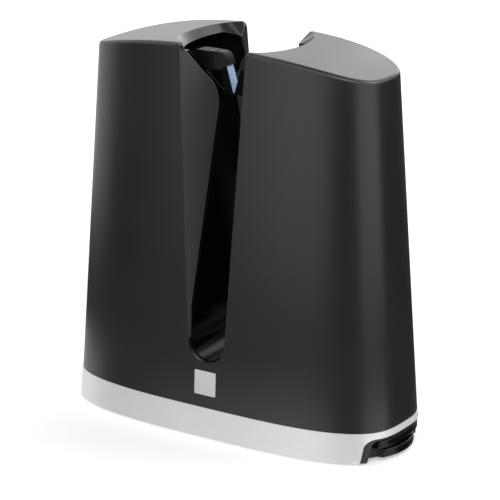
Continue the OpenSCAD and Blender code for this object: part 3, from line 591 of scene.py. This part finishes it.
def hood_profile(share, position, side, sizes):
    """The closed section of the hood's wall and top at one place of the front (1) or back (-1)."""
    top_edge, rim = sizes.top_edge / MM, sizes.rim_edge / MM
    over = lambda x, y: top_z(x, y, FRONT_ROLL if side > 0 else REAR_ROLL)
    high = over(*hood_point(share, CREST_Z, 0, CREST_Z)[:2])
    edge = SLOT_END_EDGE + (top_edge - SLOT_END_EDGE) * smooth(position / EDGE_GROWS)
    start = high - edge
    low_z = evenly(BAND_TOP, CHANNEL_Z, LOW_ROWS)
    rows = [hood_point(share, z, 0, z) for z in low_z + evenly(CHANNEL_Z, start, HIGH_ROWS)[1:]]
    rows += [hood_point(share, start, edge * (1 - cos(a)), start + edge * sin(a))
             for a in QUARTER[1:]]
    outer = Vector(rows[-1])
    lift = outer.z - over(*outer.xy)
    # The rim of the mouth: a slanting face, lower at the front
    mouth, way = mouth_point(1 - position, high)
    upper = mouth + way * min(RIM_BACK, RIM_SHARE * (mouth - outer.xy).length)
    lower = mouth - way * RIM_FORE * smooth(position / RIM_GROWS)
    behind = (1 + mouth.y * side / MOUTH_END) / 2
    drop = RIM_FRONT_DROP + (RIM_REAR_DROP - RIM_FRONT_DROP) * behind
    for w in evenly(0, 1, TOP_ROWS)[1:-1]:
        x, y = outer.xy.lerp(upper, w)
        rows.append((x, y, over(x, y) + lift * (1 - w)))
    crest = Vector((*upper, over(*upper)))
    foot = Vector((*lower, crest.z - drop))
    if side < 0:
        # At the back the rim widens to the edge of the web
        web = Vector((slot_x(foot.y, WEB_LEVEL) + WEB_GAP, foot.y,
                      WEB_TIP_Z + max(0.0, -foot.y - WEB_TIP_Y) * WEB_SLOPE))
        foot = foot.lerp(web, smooth((WEB_FROM - position) / WEB_BLEND))
    slant = (foot - crest).normalized() * rim
    inward = Vector((*way, 0)) * rim
    rows += bent(crest + inward, crest, crest + slant)
    rows += bent(foot - slant, foot, foot + inward)
    rim_end = len(rows)
    under = Vector(hood_point(share, high - HOOD_TOP, HOOD_WALL, high - HOOD_TOP))
    rim_low = Vector(rows[-1])
    rows += [tuple(rim_low.lerp(under, t)) for t in evenly(0, 1, 3)[1:-1]]
    rows += [hood_point(share, z, HOOD_WALL, z)
             for z in evenly(CHANNEL_Z, under.z, HIGH_ROWS)[:0:-1] + low_z[::-1]]
    return [(x, y * side, z) for x, y, z in rows], rim_end


def window_edge(z):
    """Place of the free edge of a front panel at a height."""
    leans = -atan(FLARE_SLOPE), atan(WINDOW_OPEN)
    ways = [Vector((cos(a), sin(a))) for a in leans]
    middle = (Vector((flare_y(WINDOW_Z), WINDOW_Z))
              - (ways[0] + ways[1]) * WINDOW_ROUND / (1 + ways[0].dot(ways[1])))
    low, high = (middle.y + WINDOW_ROUND * sin(a) for a in leans)
    if z <= low:
        return flare_y(z)
    if z >= high:
        return flare_y(WINDOW_Z) - WINDOW_OPEN * (z - WINDOW_Z)
    return middle.x + sqrt(WINDOW_ROUND ** 2 - (z - middle.y) ** 2)


def add_slab(skin, heights, outer, inner, grow, thickness, edge, side=1, tone=1.0):
    """A flared plate beside the slot, at the front (1) or the back (-1), with a round free edge."""
    loops = []
    for z in heights:
        y0, y1 = outer(z), inner(z)
        bend = min(edge, thickness * SLAB_BEND_T, (y1 - y0) * SLAB_BEND_Y)
        x = lambda y: CHANNEL_HALF + grow + FLARE_OPEN * (flare_y(z) - y)
        face = [(x(y), y) for y in evenly(y0, y1 - bend, SLAB_COLUMNS)[:-1]]
        for a in QUARTER:
            y = y1 - bend * (1 - sin(a))
            face.append((x(y) + bend * (1 - cos(a)), y))
        back = [(x(y1) + thickness, y1), (x(y0) + thickness, y0)]
        loops.append([(px, py * side, z) for px, py in face + back])
    skin.tube(loops, tone)


def build_hood(sizes):
    """Hood of one moulding: tapered wall, arched top, mouth, slot, and flared panels in front."""
    skin = Skin()
    shares, places = outline_shares()
    for side in (1, -1):
        profiles = [hood_profile(t, p, side, sizes) for t, p in zip(shares, places)]
        skin.add([p[0] for p in profiles], close_points=True)
        first, rim_end = profiles[0]
        # End of the wall at the slot, above the round floor
        tall = first[LOW_ROWS:LOW_ROWS + HIGH_ROWS + 1]
        back = first[-(LOW_ROWS + 1 + HIGH_ROWS):-LOW_ROWS]
        # At the front these end faces get tone 0: the hood's paler grey, painted light
        skin.add([tall, back[::-1]], tone=(1 - side) / 2)
        skin.cap(first[LOW_ROWS + HIGH_ROWS:-(LOW_ROWS + HIGH_ROWS)])
        skin.round_line(first[LOW_ROWS:rim_end - BEND_STEPS - 1])
    outside = lambda z: PANEL_IN - half_dep(z)
    grow, edge = SLOT_HALF - CHANNEL_HALF + PANEL_GAP, sizes.panel_edge / MM
    # The front panels get tone 0: the hood's paler grey, painted light
    add_slab(skin, evenly(PANEL_LOW, PANEL_HIGH, PANEL_ROWS), outside, window_edge, grow, PANEL_T,
             edge, tone=0.0)
    add_slab(skin, np.linspace(WEB_Z[0], WEB_Z[-1], WEB_ROWS), outside,
             lambda z: -np.interp(z, WEB_Z, WEB_Y), grow, PANEL_T, edge, side=-1)
    whole = Skin()
    for turn in (tuple, in_mirror):
        whole.join(skin, turn)
    # The faces under the slot
    for side in (1, -1):
        layers = []
        for inset in (0, -HOOD_WALL):
            patch = []
            for a in turns(-90, 90, SLOT_FOOT_PARTS):
                x = SLOT_HALF * sin(a)
                heights = evenly(BAND_TOP, CHANNEL_Z - SLOT_HALF * cos(a), LOW_ROWS)
                patch.append([(x, -side * face_y(x, z, inset), z) for z in heights])
            whole.add(patch)
            layers.append(patch)
        for end in (-1, 0):
            whole.add([[column[end] for column in patch] for patch in layers])
        whole.round_line([column[-1] for column in layers[0]])
    piece = whole.build("hood")
    round_edges(piece, sizes.slot_edge)
    return piece


def liner_reach(z):
    """Half the depth of the channel, which ends at the front panels."""
    inside = half_dep(z) - LINER_INSET
    return min(inside, -flare_y(z) - FIT_GAP) if z > CHANNEL_Z else inside


def build_liner():
    """Polished channel with a round floor, rims behind the front panels and a flare at the back."""
    skin = Skin()
    walls = evenly(LINER_TOP, CHANNEL_Z, LINER_ROWS)
    sections = [(1, 0, z) for z in walls]
    sections += [(cos(a), sin(a), CHANNEL_Z) for a in turns(0, -180, CHANNEL_PARTS)[1:-1]]
    sections += [(-1, 0, z) for z in reversed(walls)]
    shares = (-1, -0.5, 0, 0.5, 1)
    loops = []
    for cx, cz, z in sections:
        reach = liner_reach(z + cz * CHANNEL_HALF)
        loops.append([(cx * radius, share * reach, z + cz * radius) for radius, order in (
            (CHANNEL_HALF, shares), (CHANNEL_HALF + LINER_WALL, shares[::-1])) for share in order])
    skin.tube(loops)
    for loop in (loops[0], loops[-1]):
        skin.round_line(loop[:len(shares)])
    rim = RIM_SHOW / cos(atan(WINDOW_OPEN))
    window = lambda z, slope: flare_y(WINDOW_Z) - slope * (z - WINDOW_Z) + rim
    outside = lambda z: LINER_INSET - half_dep(z)
    wings = Skin()
    add_slab(wings, evenly(CHANNEL_Z, WING_TOP, WING_ROWS), outside,
             lambda z: min(flare_y(z) + WING_OVER, window(z, WINDOW_OPEN)),
             SLOT_HALF - CHANNEL_HALF + PANEL_T + FIT_GAP, LINER_WALL, WING_EDGE)
    add_slab(wings, evenly(CHANNEL_Z, REAR_WING_TOP, REAR_WING_ROWS), outside,
             lambda z: min(flare_y(z) + PANEL_GAP, window(z, REAR_OPEN)), 0.0, LINER_WALL,
             WING_EDGE, side=-1)
    for turn in (tuple, in_mirror):
        skin.join(wings, turn)
    for y in (BOSS_Y, -BOSS_Y):
        skin.tube([circle(radius, z, BOSS_PARTS, y) for radius, z in BOSS])
    piece = skin.build("slot_channel")
    round_edges(piece, LINER_EDGE * MM)
    return piece


# Pieces of the base


def arch_z(y):
    """Height of the arch in the band at a place across it."""
    over = abs(y) - (ARCH_HALF - ARCH_ROUND)
    if over <= 0:
        return ARCH_TOP
    return ARCH_CORNER + sqrt(max(0.0, ARCH_ROUND ** 2 - over ** 2))


def arch_side(z):
    """Half the width of the arch below its rounding: its legs spread towards the table."""
    return ARCH_HALF + ARCH_FLARE * max(0.0, 1 - z / ARCH_CORNER)


def ring_point(t, z, grow):
    """A point of the whole outline at a turn."""
    signed = lambda v: np.sign(v) * abs(v) ** (2 / OUTLINE_POWER)
    return (half_len(z) + grow) * signed(np.cos(t)), (half_dep(z) + grow) * signed(np.sin(t)), z


def band_column(heights, point):
    """Points up the outside of the band and down its inside."""
    return ([point(z, BAND_PROUD) for z in heights]
            + [point(z, -BAND_WALL) for z in reversed(heights)])


def build_band(sizes):
    """Silver ring under the hood, with the arch for the drawer at one end."""
    skin = Skin()
    low, high = evenly(BAND_LOW, ARCH_CORNER, BAND_LOW_ROWS), evenly(0, 1, BAND_HIGH_ROWS)
    tall = low + [ARCH_CORNER + (BAND_TOP - ARCH_CORNER) * h for h in high[1:]]
    # Turns of the outline from the side of the arch round the back to its other side
    fine = np.linspace(0, 2 * pi, RING_FINE)
    ring = np.stack(ring_point(fine, BAND_SPACING_Z, 0)[:2], 1)
    run = run_along(ring)
    quarter = RING_FINE // 4
    begin = np.interp(ARCH_HALF + ARCH_FLARE, ring[:quarter, 1], run[:quarter])
    spots = np.interp(np.linspace(begin, run[-1] - begin, BAND_COLUMNS + 1), run, fine)
    sides = [band_column(tall, lambda z, grow: (end_x(arch_side(z), z, grow), s * arch_side(z), z))
             for s in (1, -1)]
    columns = [band_column(tall, lambda z, grow: ring_point(t, z, grow)) for t in spots[1:-1]]
    columns = [sides[0], *columns, sides[1]]
    bridge = []
    for y in (ARCH_HALF * sin(a) for a in turns(-90, 90, ARCH_PARTS)):
        heights = [arch_z(y) + (BAND_TOP - arch_z(y)) * h for h in high]
        bridge.append(band_column(heights, lambda z, grow: (end_x(y, z, grow), y, z)))
    for line in (columns, bridge):
        skin.add(line, close_points=True)
    for side in sides:
        skin.cap(side[:len(low)] + side[-len(low):])
    for line in (columns, bridge):
        skin.round_line([c[len(c) // 2 - 1] for c in line])
        skin.round_line([c[0] for c in line], BAND_LOW_SHARE)
    for side in sides:
        skin.round_line(side[:len(low)], BAND_LOW_SHARE)
    piece = skin.build("silver_band")
    round_edges(piece, sizes.band_edge)
    return piece


def build_drawer_front(sizes):
    """Drawer front with an upper ledge, a finger groove and a lower lip that bulges out."""
    low, high = (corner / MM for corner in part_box("drawer_front"))
    ends = [LIP_HALF + LIP_CUT, (LIP_HALF + high.y) / 2 + LIP_CUT, high.y]
    lip_places = np.linspace(-LIP_HALF, LIP_HALF, LIP_COLUMNS)
    loops = []
    for y in (*(-y for y in reversed(ends)), *lip_places, *ends):
        groove, ledge = (end_x(y, BAND_LOW, -inset) for inset in (GROOVE_IN, LEDGE_IN))
        # Beside the lip the front stays back, with room for a fingertip
        lip = groove + LIP_STUB
        if abs(y) < LIP_HALF + LIP_CUT / 2:
            lip = high.x - LIP_RADIUS + sqrt(LIP_RADIUS ** 2 - y * y)
        loops.append([(x, y, z) for x, z in (
            (lip, low.z), (lip, LIP_TOP), (groove, LIP_TOP), (groove, LEDGE_LOW),
            (ledge, LEDGE_LOW), (ledge, high.z), (low.x, high.z), (low.x, low.z))])
    skin = Skin()
    skin.tube(loops)
    lip_only = loops[len(ends):-len(ends)]
    for corner, line in ((0, lip_only), (1, lip_only), (4, loops), (5, loops)):
        skin.round_line([loop[corner] for loop in line])
    for loop in (loops[0], loops[-1]):
        skin.round_line(loop[4:6])
    piece = skin.build("drawer_face")
    round_edges(piece, sizes.drawer_edge)
    return piece


def build_surround():
    """Arch round the drawer, with legs that are wider inside and a foot beside each end of it."""
    piece = own_copy("drawer_surround", "surround")
    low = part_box("drawer_surround")[0] / MM
    bend = lambda z, r: r - sqrt(max(0.0, r ** 2 - max(0.0, z - ARCH_CORNER) ** 2))
    leg_in = lambda z: arch_side(z) - LEG_WIDE - bend(z, LEG_ROUND)
    leg_out = lambda z: arch_side(z) - LEG_SINK - bend(z, ARCH_ROUND)
    front = lambda y: end_x(y, ARCH_TOP) - LEG_BACK
    legs = [(z, leg_in(z), leg_out(z), front(leg_in(z))) for z in (
        *np.linspace(low.z, ARCH_CORNER, 4), *np.linspace(ARCH_CORNER + LEG_STEP, LEG_TOP, 6))]
    foot_x = end_x(FOOT_IN, BAND_LOW, -GROOVE_IN) + LIP_STUB
    feet = [(z, FOOT_IN, leg_in(z) + FOOT_OVER, foot_x) for z in (low.z, FOOT_TOP)]
    start = low.x + LEG_START
    skin = Skin()
    for rows in (legs, feet):
        for side in (1, -1):
            skin.tube([[(start, side * a, z), (start, side * b, z), (front(b), side * b, z),
                        (inner, side * a, z)] for z, a, b, inner in rows])
    more = skin.build("surround_more")
    bm = bmesh.new()
    bm.from_mesh(piece.data)
    bm.from_mesh(more.data)
    bm.to_mesh(piece.data)
    bm.free()
    bpy.data.objects.remove(more)
    return piece


def build_badge():
    """Bare tile with rounded corners on the leaning front face."""
    low, high = (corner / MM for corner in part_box("badge_tile"))
    lean = atan((BASE_DEPTH - TOP_DEPTH) / 2 / HEIGHT)
    middle, half = (low.z + high.z) / 2, (high.x - low.x) / 2
    flat = half - BADGE_CORNER
    outline = []
    for cx, cz, begin in ((1, 1, 0), (-1, 1, 90), (-1, -1, 180), (1, -1, 270)):
        for a in turns(begin, begin + 90, 6):
            outline.append((cx * flat + BADGE_CORNER * cos(a), cz * flat + BADGE_CORNER * sin(a)))
    rings = []
    for inset, depth in BADGE_RINGS:
        shrink = 1 - inset / half
        y, z_ring = -half_dep(middle) + depth * cos(lean), middle - depth * sin(lean)
        rings.append([(x * shrink, y + z * shrink * sin(lean), z_ring + z * shrink * cos(lean))
                      for x, z in outline])
    skin = Skin()
    skin.tube(rings)
    return skin.build("badge")


# Pieces of the arms


def lever_rim(p, q):
    """Whether an edge of an arm runs along the rim of a flat side, near the head."""
    if p.z <= HEAD_LOW - RIM_BELOW_HEAD or min(abs(p.x), abs(q.x)) <= HOLDER_X + RIM_PAST_JOINT:
        return False
    sides = ARM_Y - ARM_T / 2, ARM_Y + ARM_T / 2
    return any(abs(p.y - y) + abs(q.y - y) < 0.01 for y in sides)


def on_plate(up, behind):
    """A point of the left plate's leaning frame, along its face and behind it, as x and z."""
    return (-PLATE_TIP_X - up * sin(PLATE_LEAN) - behind * cos(PLATE_LEAN),
            PLATE_TIP_Z + up * cos(PLATE_LEAN) - behind * sin(PLATE_LEAN))


def over_nose(depth, front_low, throat):
    """Head of a left holder from its end face over the top, or the floor of the seam in it."""
    nose = on_plate(PLATE_FACE, -NOSE_PROUD)
    joint = -HOLDER_X + CLEARANCE
    rise = HEAD_TOP - NOSE_ROUND * (1 - sin(PLATE_LEAN))
    middle_x = nose[0] - (rise - nose[1]) * tan(PLATE_LEAN) - NOSE_ROUND * cos(PLATE_LEAN)
    middle_z, radius = HEAD_TOP - NOSE_ROUND, NOSE_ROUND - depth
    arc = [(middle_x + radius * cos(a), middle_z + radius * sin(a))
           for a in evenly(PLATE_LEAN, pi / 2, NOSE_PARTS)]
    return [front_low, on_plate(PLATE_FACE, depth - NOSE_PROUD), *arc, (joint, HEAD_TOP - depth),
            (joint, HEAD_LOW), throat]


def holder_skin():
    """A left holder: head with a seam, carrier with a pocket for the plate, and T tongue."""
    back, slope = PLATE_T + CARRIER_T, tan(PLATE_LEAN)
    front_low = on_plate(PLATE_FACE, 0)
    throat = (on_plate(PLATE_FACE - THROAT, back)[0], HEAD_LOW)
    head, sunk = (over_nose(depth, front_low, throat) for depth in (0, SEAM_DEPTH))
    tip = on_plate(PLATE_T * slope, 0)
    seat = on_plate(slope * PLATE_T * (2 - PLATE_T / back), PLATE_T)
    carrier = [throat, on_plate(back * slope, back), seat]
    outside = [seat, tip, front_low]
    root = PLATE_FACE + PLATE_ROOT
    pocket = [seat, on_plate(root, PLATE_T), on_plate(root, 0), front_low]
    y = [ARM_Y - ARM_T / 2 + CLEARANCE, ARM_Y + ARM_T / 2 - CLEARANCE]
    y = [y[0], y[0] + CHEEK, y[1] - CHEEK, y[1]]
    at = lambda path, level: [(px, level, pz) for px, pz in path]
    skin = Skin()
    # The seam between the front cheek and the rest runs over the nose and the top
    seam = [y[1] + run for run in SEAM]
    levels = [y[0], *seam, y[2], y[3]]
    skin.add([at(sunk if level in seam[1:3] else head, level) for level in levels])
    # The carrier, the outside below the plate and the pocket get tone 0, and so do their end caps:
    # near-black, painted shade
    for path, rows in ((carrier, levels), (outside, y[:2]), (outside, y[2:]),
                       (pocket, levels[1:-1])):
        skin.add([at(path, level) for level in rows], tone=0.0)
    for level in (y[0], y[3]):
        skin.cap(at(head, level))
        skin.cap(at(carrier + [tip, front_low], level), tone=0.0)
        skin.round_line(at(head[1:-2], level), HEAD_SHARE)
    for level in (y[1], y[2]):
        skin.cap(at(pocket + [tip], level), tone=0.0)
    edges = [(2 * TONGUE_STEP, TONGUE_HEAD), (TONGUE_STEP, TONGUE_HEAD), (TONGUE_STEP, TONGUE_NECK),
             (-TONGUE_ROOT, TONGUE_NECK)]
    plan = [(-HOLDER_X - run, ARM_Y - width / 2) for run, width in edges]
    plan += [(-HOLDER_X - run, ARM_Y + width / 2) for run, width in reversed(edges)]
    skin.tube([[(px, py, z) for px, py in plan] for z in (HEAD_LOW + TONGUE_FLOOR, HEAD_TOP)])
    return skin


def build_holder(name, sizes, *moves):
    """One holder, or several, each moved to its place."""
    skin = Skin()
    for turn in moves:
        skin.join(holder_skin(), turn)
    piece = skin.build(name)
    round_edges(piece, sizes.arm_edge)
    return piece


def as_spare(number):
    """The way from the left holder's place to a spare's place on the floor of the tray."""
    level, front = (HEAD_TOP + PLATE_TIP_Z) / 2, ARM_Y - ARM_T / 2 + CLEARANCE
    start = SPARE_X + SPARE_STEP * number + (HOLDER_X / 2 + TONGUE_STEP)
    return lambda p: (p[0] + start, level - p[2], p[1] - front + SPARE_Z)


# Small parts that are there several times


def scattered(name, seed_mesh, spots, material):
    """Copies of one part at several places, made by geometry nodes and turned into a mesh."""
    tree = bpy.data.node_groups.new(name + "_layout", "GeometryNodeTree")
    _, part, finish, _ = (
        tree.interface.new_socket(label, in_out=way, socket_type="NodeSocket" + kind)
        for label, way, kind in (("Geometry", "INPUT", "Geometry"), ("Part", "INPUT", "Object"),
                                 ("Finish", "INPUT", "Material"),
                                 ("Geometry", "OUTPUT", "Geometry")))
    inputs = add_node(tree, "NodeGroupInput").outputs
    source = add_node(tree, "GeometryNodeObjectInfo", Object=inputs["Part"], As_Instance=True)
    copies = add_node(tree, "GeometryNodeInstanceOnPoints", Points=inputs["Geometry"],
                      Instance=source.outputs["Geometry"])
    whole = add_node(tree, "GeometryNodeRealizeInstances", Geometry=copies)
    dressed = add_node(tree, "GeometryNodeSetMaterial", Geometry=whole, Material=inputs["Finish"])
    add_node(tree, "NodeGroupOutput", Geometry=dressed)
    seed = add_object(name + "_part", seed_mesh)
    points = bpy.data.meshes.new(name + "_places")
    points.from_pydata([[v * MM for v in spot] for spot in spots], [], [])
    carrier = add_object(name, points)
    layout = carrier.modifiers.new("layout", "NODES")
    layout.node_group = tree
    layout[part.identifier] = seed
    layout[finish.identifier] = material
    bpy.context.view_layer.update()
    final = carrier.evaluated_get(bpy.context.evaluated_depsgraph_get())
    mesh = bpy.data.meshes.new_from_object(final)
    carrier.modifiers.clear()
    carrier.data = mesh
    mesh.name = name
    bpy.data.objects.remove(seed)
    return carrier


def turned_mesh(name, profile, sides):
    """A turned part: a profile of radius and height spun about the upright axis."""
    skin = Skin()
    skin.tube([circle(radius, z, sides) for radius, z in profile])
    piece = skin.build(name)
    mesh = piece.data
    bpy.data.objects.remove(piece)
    return mesh


def node_spots(node):
    """Where the separate solids of a node stand: the middle of each at its lowest height."""
    bm = merged(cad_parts[node].data, COPY_MERGE)
    seen, spots = set(), []
    for vert in bm.verts:
        if vert in seen:
            continue
        group, todo = [], [vert]
        seen.add(vert)
        while todo:
            here = todo.pop()
            group.append(here.co / MM)
            for edge in here.link_edges:
                other = edge.other_vert(here)
                if other not in seen:
                    seen.add(other)
                    todo.append(other)
        lows, highs = ([pick(p[i] for p in group) for i in range(3)] for pick in (min, max))
        spots.append(((lows[0] + highs[0]) / 2, (lows[1] + highs[1]) / 2, lows[2]))
    bm.free()
    return spots


# Operators, one for each piece or group of like pieces


class SHARPENER_OT_finishes(bpy.types.Operator):
    """Make the materials of the sharpener"""
    bl_idname = "sharpener.finishes"
    bl_label = "Finishes"

    def execute(self, context):
        make_finishes(context.scene.sharpener_colours)
        return {"FINISHED"}


class SHARPENER_OT_hood(bpy.types.Operator):
    """Build the black hood with its slot and flared panels"""
    bl_idname = "sharpener.hood"
    bl_label = "Hood"

    def execute(self, context):
        hood = build_hood(context.scene.sharpener_sizes)
        place(hood, "housing", "hood", "housing_shell")
        return {"FINISHED"}


class SHARPENER_OT_channel(bpy.types.Operator):
    """Build the polished knife channel"""
    bl_idname = "sharpener.channel"
    bl_label = "Channel"

    def execute(self, context):
        place(build_liner(), "housing", "liner", "slot_liner")
        return {"FINISHED"}


class SHARPENER_OT_base(bpy.types.Operator):
    """Build the silver band, the badge tile, the feet and the inside of the base"""
    bl_idname = "sharpener.base"
    bl_label = "Base"

    def execute(self, context):
        sizes = context.scene.sharpener_sizes
        place(build_band(sizes), "housing", "band", "base_band")
        place(build_badge(), "housing", "badge", "badge_tile")
        foot = turned_mesh("foot_shape", RUBBER_FOOT, FOOT_PARTS)
        spots = [(x, y, 0) for x, y, _ in node_spots("rubber_feet")]
        feet = scattered("feet", foot, spots, FINISHES["rubber"])
        place(feet, "housing", "rubber", "rubber_feet")
        for node, name, edge in (("base_deck", "deck", 0.3), ("bottom_plate", "underside", 0.25)):
            dress_copy(node, name, edge, "housing", "inner_black", "inner")
        return {"FINISHED"}


class SHARPENER_OT_drawer(bpy.types.Operator):
    """Build the storage drawer, its surround and its rails"""
    bl_idname = "sharpener.drawer"
    bl_label = "Drawer"

    def execute(self, context):
        sizes = context.scene.sharpener_sizes
        front = build_drawer_front(sizes)
        place(front, "drawer", "drawer", "drawer_front")
        surround = build_surround()
        round_edges(surround, SURROUND_EDGE * MM, weighted=False)
        place(surround, "housing", "surround", "drawer_surround")
        dress_copy("drawer_rails", "rails", 0.2, "housing", "inner_black", "inner")
        dress_copy("drawer_tray", "tray", 0.3, "drawer", "drawer_black", "drawer", ring=True)
        dress_copy("spare_stones", "spare_plates", 0.12, "drawer", "plate_white", "spare_plate")
        spares = build_holder("spare_carriers", sizes, as_spare(0), as_spare(1))
        place(spares, "drawer", "holder", "spare_holders")
        return {"FINISHED"}


class SHARPENER_OT_arms(bpy.types.Operator):
    """Build the two arms with their holders, plates, pivots and springs"""
    bl_idname = "sharpener.arms"
    bl_label = "Arms"

    def execute(self, context):
        sizes = context.scene.sharpener_sizes
        for side, turn in (("left", tuple), ("right", in_mirror)):
            lever = own_copy(side + "_arm", side + "_lever", lever_rim)
            round_edges(lever, sizes.arm_edge)
            place(lever, side + "_arm", "arm", side + "_arm")
            holder = build_holder(side + "_carrier", sizes, turn)
            place(holder, side + "_cartridge", "holder", side + "_holder")
            for node, name, *look in (
                    ("stone", "plate", 0.12, side + "_cartridge", "plate_blue", "plate"),
                    ("bush", "bearing", 0.15, side + "_arm", "bronze", "bronze"),
                    ("bracket", "pivot_bracket", 0.3, "housing", "steel", "steel"),
                    ("axle", "pivot_pin", 0.4, "housing", "steel", "steel"),
                    ("axle_clips", "pivot_clips", 0.2, "housing", "steel", "steel"),
                    ("bumper", "rest_pad", 0.6, "housing", "rubber_black", "rubber")):
                dress_copy(side + "_" + node, side + "_" + name, *look)
            # The spring runs between its leg on the bracket and its leg on the arm; its copy is
            # left fixed and is given no body
            spring = own_copy(side + "_spring", side + "_coil")
            spring.data.materials.append(FINISHES["steel"])
            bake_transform(spring)
            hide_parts(side + "_spring")
        return {"FINISHED"}


class SHARPENER_OT_screws(bpy.types.Operator):
    """Build the screws of the base"""
    bl_idname = "sharpener.screws"
    bl_label = "Screws"

    def execute(self, context):
        for node, name, profile in (("deck_screws", "screws_deck", SCREW_UP),
                                    ("base_screws", "screws_base", SCREW_UP),
                                    ("bracket_screws", "screws_bracket", SCREW_DOWN)):
            screw = turned_mesh(name + "_shape", profile, SCREW_PARTS)
            piece = scattered(name, screw, node_spots(node), FINISHES["steel"])
            place(piece, "housing", "steel", node)
        return {"FINISHED"}


class SHARPENER_OT_stage(bpy.types.Operator):
    """Set up the floor, the light and the camera"""
    bl_idname = "sharpener.stage"
    bl_label = "Stage"

    def execute(self, context):
        scene = context.scene
        scene.view_settings.view_transform = "Standard"
        build_floor()
        build_light(scene)
        build_camera(scene)
        return {"FINISHED"}


# Stage


def add_stage(name, points, faces, material):
    mesh = bpy.data.meshes.new(name)
    mesh.from_pydata(points, [], faces)
    mesh.materials.append(material)
    thing = add_object(name, mesh)
    return thing


def sheet(half, front, rear, z):
    """Points and face of a level sheet."""
    return [(-half, front, z), (half, front, z), (half, rear, z), (-half, rear, z)], [(0, 1, 2, 3)]


def build_floor():
    # White paper sweep: the camera sees it as white, and it keeps the contact shadow
    material, tree = new_material("white_paper")
    paths = add_node(tree, "ShaderNodeLightPath")
    paper = add_node(tree, "ShaderNodeBsdfDiffuse", Color=(PAPER, PAPER, PAPER, 1))
    glow = add_node(tree, "ShaderNodeEmission", Color=(1, 1, 1, 1), Strength=PAPER_GLOW)
    both = add_node(tree, "ShaderNodeAddShader", _0=paper, _1=glow)
    mix = add_node(tree, "ShaderNodeMixShader", Fac=paths.outputs["Is Camera Ray"], _1=paper,
                   _2=both)
    add_node(tree, "ShaderNodeOutputMaterial", Surface=mix)
    floor = add_stage("floor", *sheet(FLOOR_REACH, -FLOOR_REACH, FLOOR_REACH, 0), material)
    # Reflections see the studio all round instead of the paper
    floor.visible_glossy = False


def add_card(name, points, faces, grey):
    """A flag of the studio, which only shows in reflections."""
    # Cloth on a frame: dull grey
    material, tree = new_material(name + "_cloth")
    cloth = add_node(tree, "ShaderNodeBsdfDiffuse", Color=(grey, grey, grey, 1))
    add_node(tree, "ShaderNodeOutputMaterial", Surface=cloth)
    card = add_stage(name, points, faces, material)
    card.visible_camera = card.visible_diffuse = card.visible_shadow = False


def build_light(scene):
    world = bpy.data.worlds.new("studio")
    scene.world = world
    world.use_nodes = True
    tree = world.node_tree
    tree.nodes.clear()
    # White for the camera and for reflections, and a plain level of light on the object
    paths = add_node(tree, "ShaderNodeLightPath").outputs
    seen = paths["Is Camera Ray"]
    for path in ("Is Glossy Ray", "Is Transmission Ray"):
        seen = add_node(tree, "ShaderNodeMath", {"operation": "MAXIMUM"}, _0=seen, _1=paths[path])
    white, fill = (add_node(tree, "ShaderNodeBackground", Color=(1, 1, 1, 1), Strength=level)
                   for level in (1.0, FILL))
    mix = add_node(tree, "ShaderNodeMixShader", Fac=seen, _1=fill, _2=white)
    add_node(tree, "ShaderNodeOutputWorld", Surface=mix)
    for number, (begin, end, top, grey) in enumerate(CARDS):
        points = [(CARD_REACH * sin(a), -CARD_REACH * cos(a), z) for z in (CARD_FOOT, top)
                  for a in turns(begin, end, CARD_PARTS)]
        row = CARD_PARTS + 1
        faces = [(k, k + 1, k + 1 + row, k + row) for k in range(CARD_PARTS)]
        add_card(f"card_{number}", points, faces, grey)
    # A ring on the floor darkens the foot of the hood
    points = [(x * cos(a), y * sin(a), BELOW_Z) for x, y in BELOW_RADII
              for a in turns(0, 360, BELOW_PARTS)[:-1]]
    pairs = [(k, (k + 1) % BELOW_PARTS) for k in range(BELOW_PARTS)]
    add_card("card_below", points, [(k, n, n + BELOW_PARTS, k + BELOW_PARTS) for k, n in pairs],
             BELOW_GREY)
    add_card("card_above", *sheet(*ABOVE), ABOVE_GREY)
    for name, spot, size, power in LAMPS:
        lamp = bpy.data.lights.new(name, "AREA")
        lamp.shape = "SQUARE"
        lamp.size = size
        lamp.energy = power
        holder = add_object(name, lamp)
        holder.location = spot
        holder.rotation_euler = (LAMP_AIM - Vector(spot)).to_track_quat("-Z", "Y").to_euler()


def build_camera(scene):
    away = Vector((sin(CAMERA_TURN) * cos(CAMERA_RISE), -cos(CAMERA_TURN) * cos(CAMERA_RISE),
                   sin(CAMERA_RISE)))
    data = bpy.data.cameras.new("photo_camera")
    data.sensor_width = 36
    data.lens = 181.9
    data.clip_end = 50
    camera = add_object("photo_camera", data)
    camera.location = CAMERA_AIM + away * CAMERA_REACH
    camera.rotation_euler = (-away).to_track_quat("-Z", "Y").to_euler()
    scene.camera = camera


class SHARPENER_PT_panel(bpy.types.Panel):
    """The steps that dress the sharpener"""
    bl_idname = "SHARPENER_PT_panel"
    bl_label = "Knife sharpener"
    bl_space_type = "VIEW_3D"
    bl_region_type = "UI"
    bl_category = "Sharpener"

    def draw(self, context):
        for group in (context.scene.sharpener_sizes, context.scene.sharpener_colours):
            for name in group.__annotations__:
                self.layout.prop(group, name)
        for step in STEPS:
            self.layout.operator(step.bl_idname)


STEPS = (SHARPENER_OT_finishes, SHARPENER_OT_hood, SHARPENER_OT_channel, SHARPENER_OT_base,
         SHARPENER_OT_drawer, SHARPENER_OT_arms, SHARPENER_OT_screws, SHARPENER_OT_stage)
CLASSES = (SharpenerSizes, SharpenerColours, *STEPS, SHARPENER_PT_panel)


def register():
    for cls in CLASSES:
        bpy.utils.register_class(cls)
    bpy.types.Scene.sharpener_sizes = PointerProperty(type=SharpenerSizes)
    bpy.types.Scene.sharpener_colours = PointerProperty(type=SharpenerColours)


def unregister():
    del bpy.types.Scene.sharpener_colours
    del bpy.types.Scene.sharpener_sizes
    for cls in reversed(CLASSES):
        bpy.utils.unregister_class(cls)


def main():
    register()
    for step in STEPS:
        group, name = step.bl_idname.split(".")
        getattr(getattr(bpy.ops, group), name)()


if __name__ == "__main__":
    main()
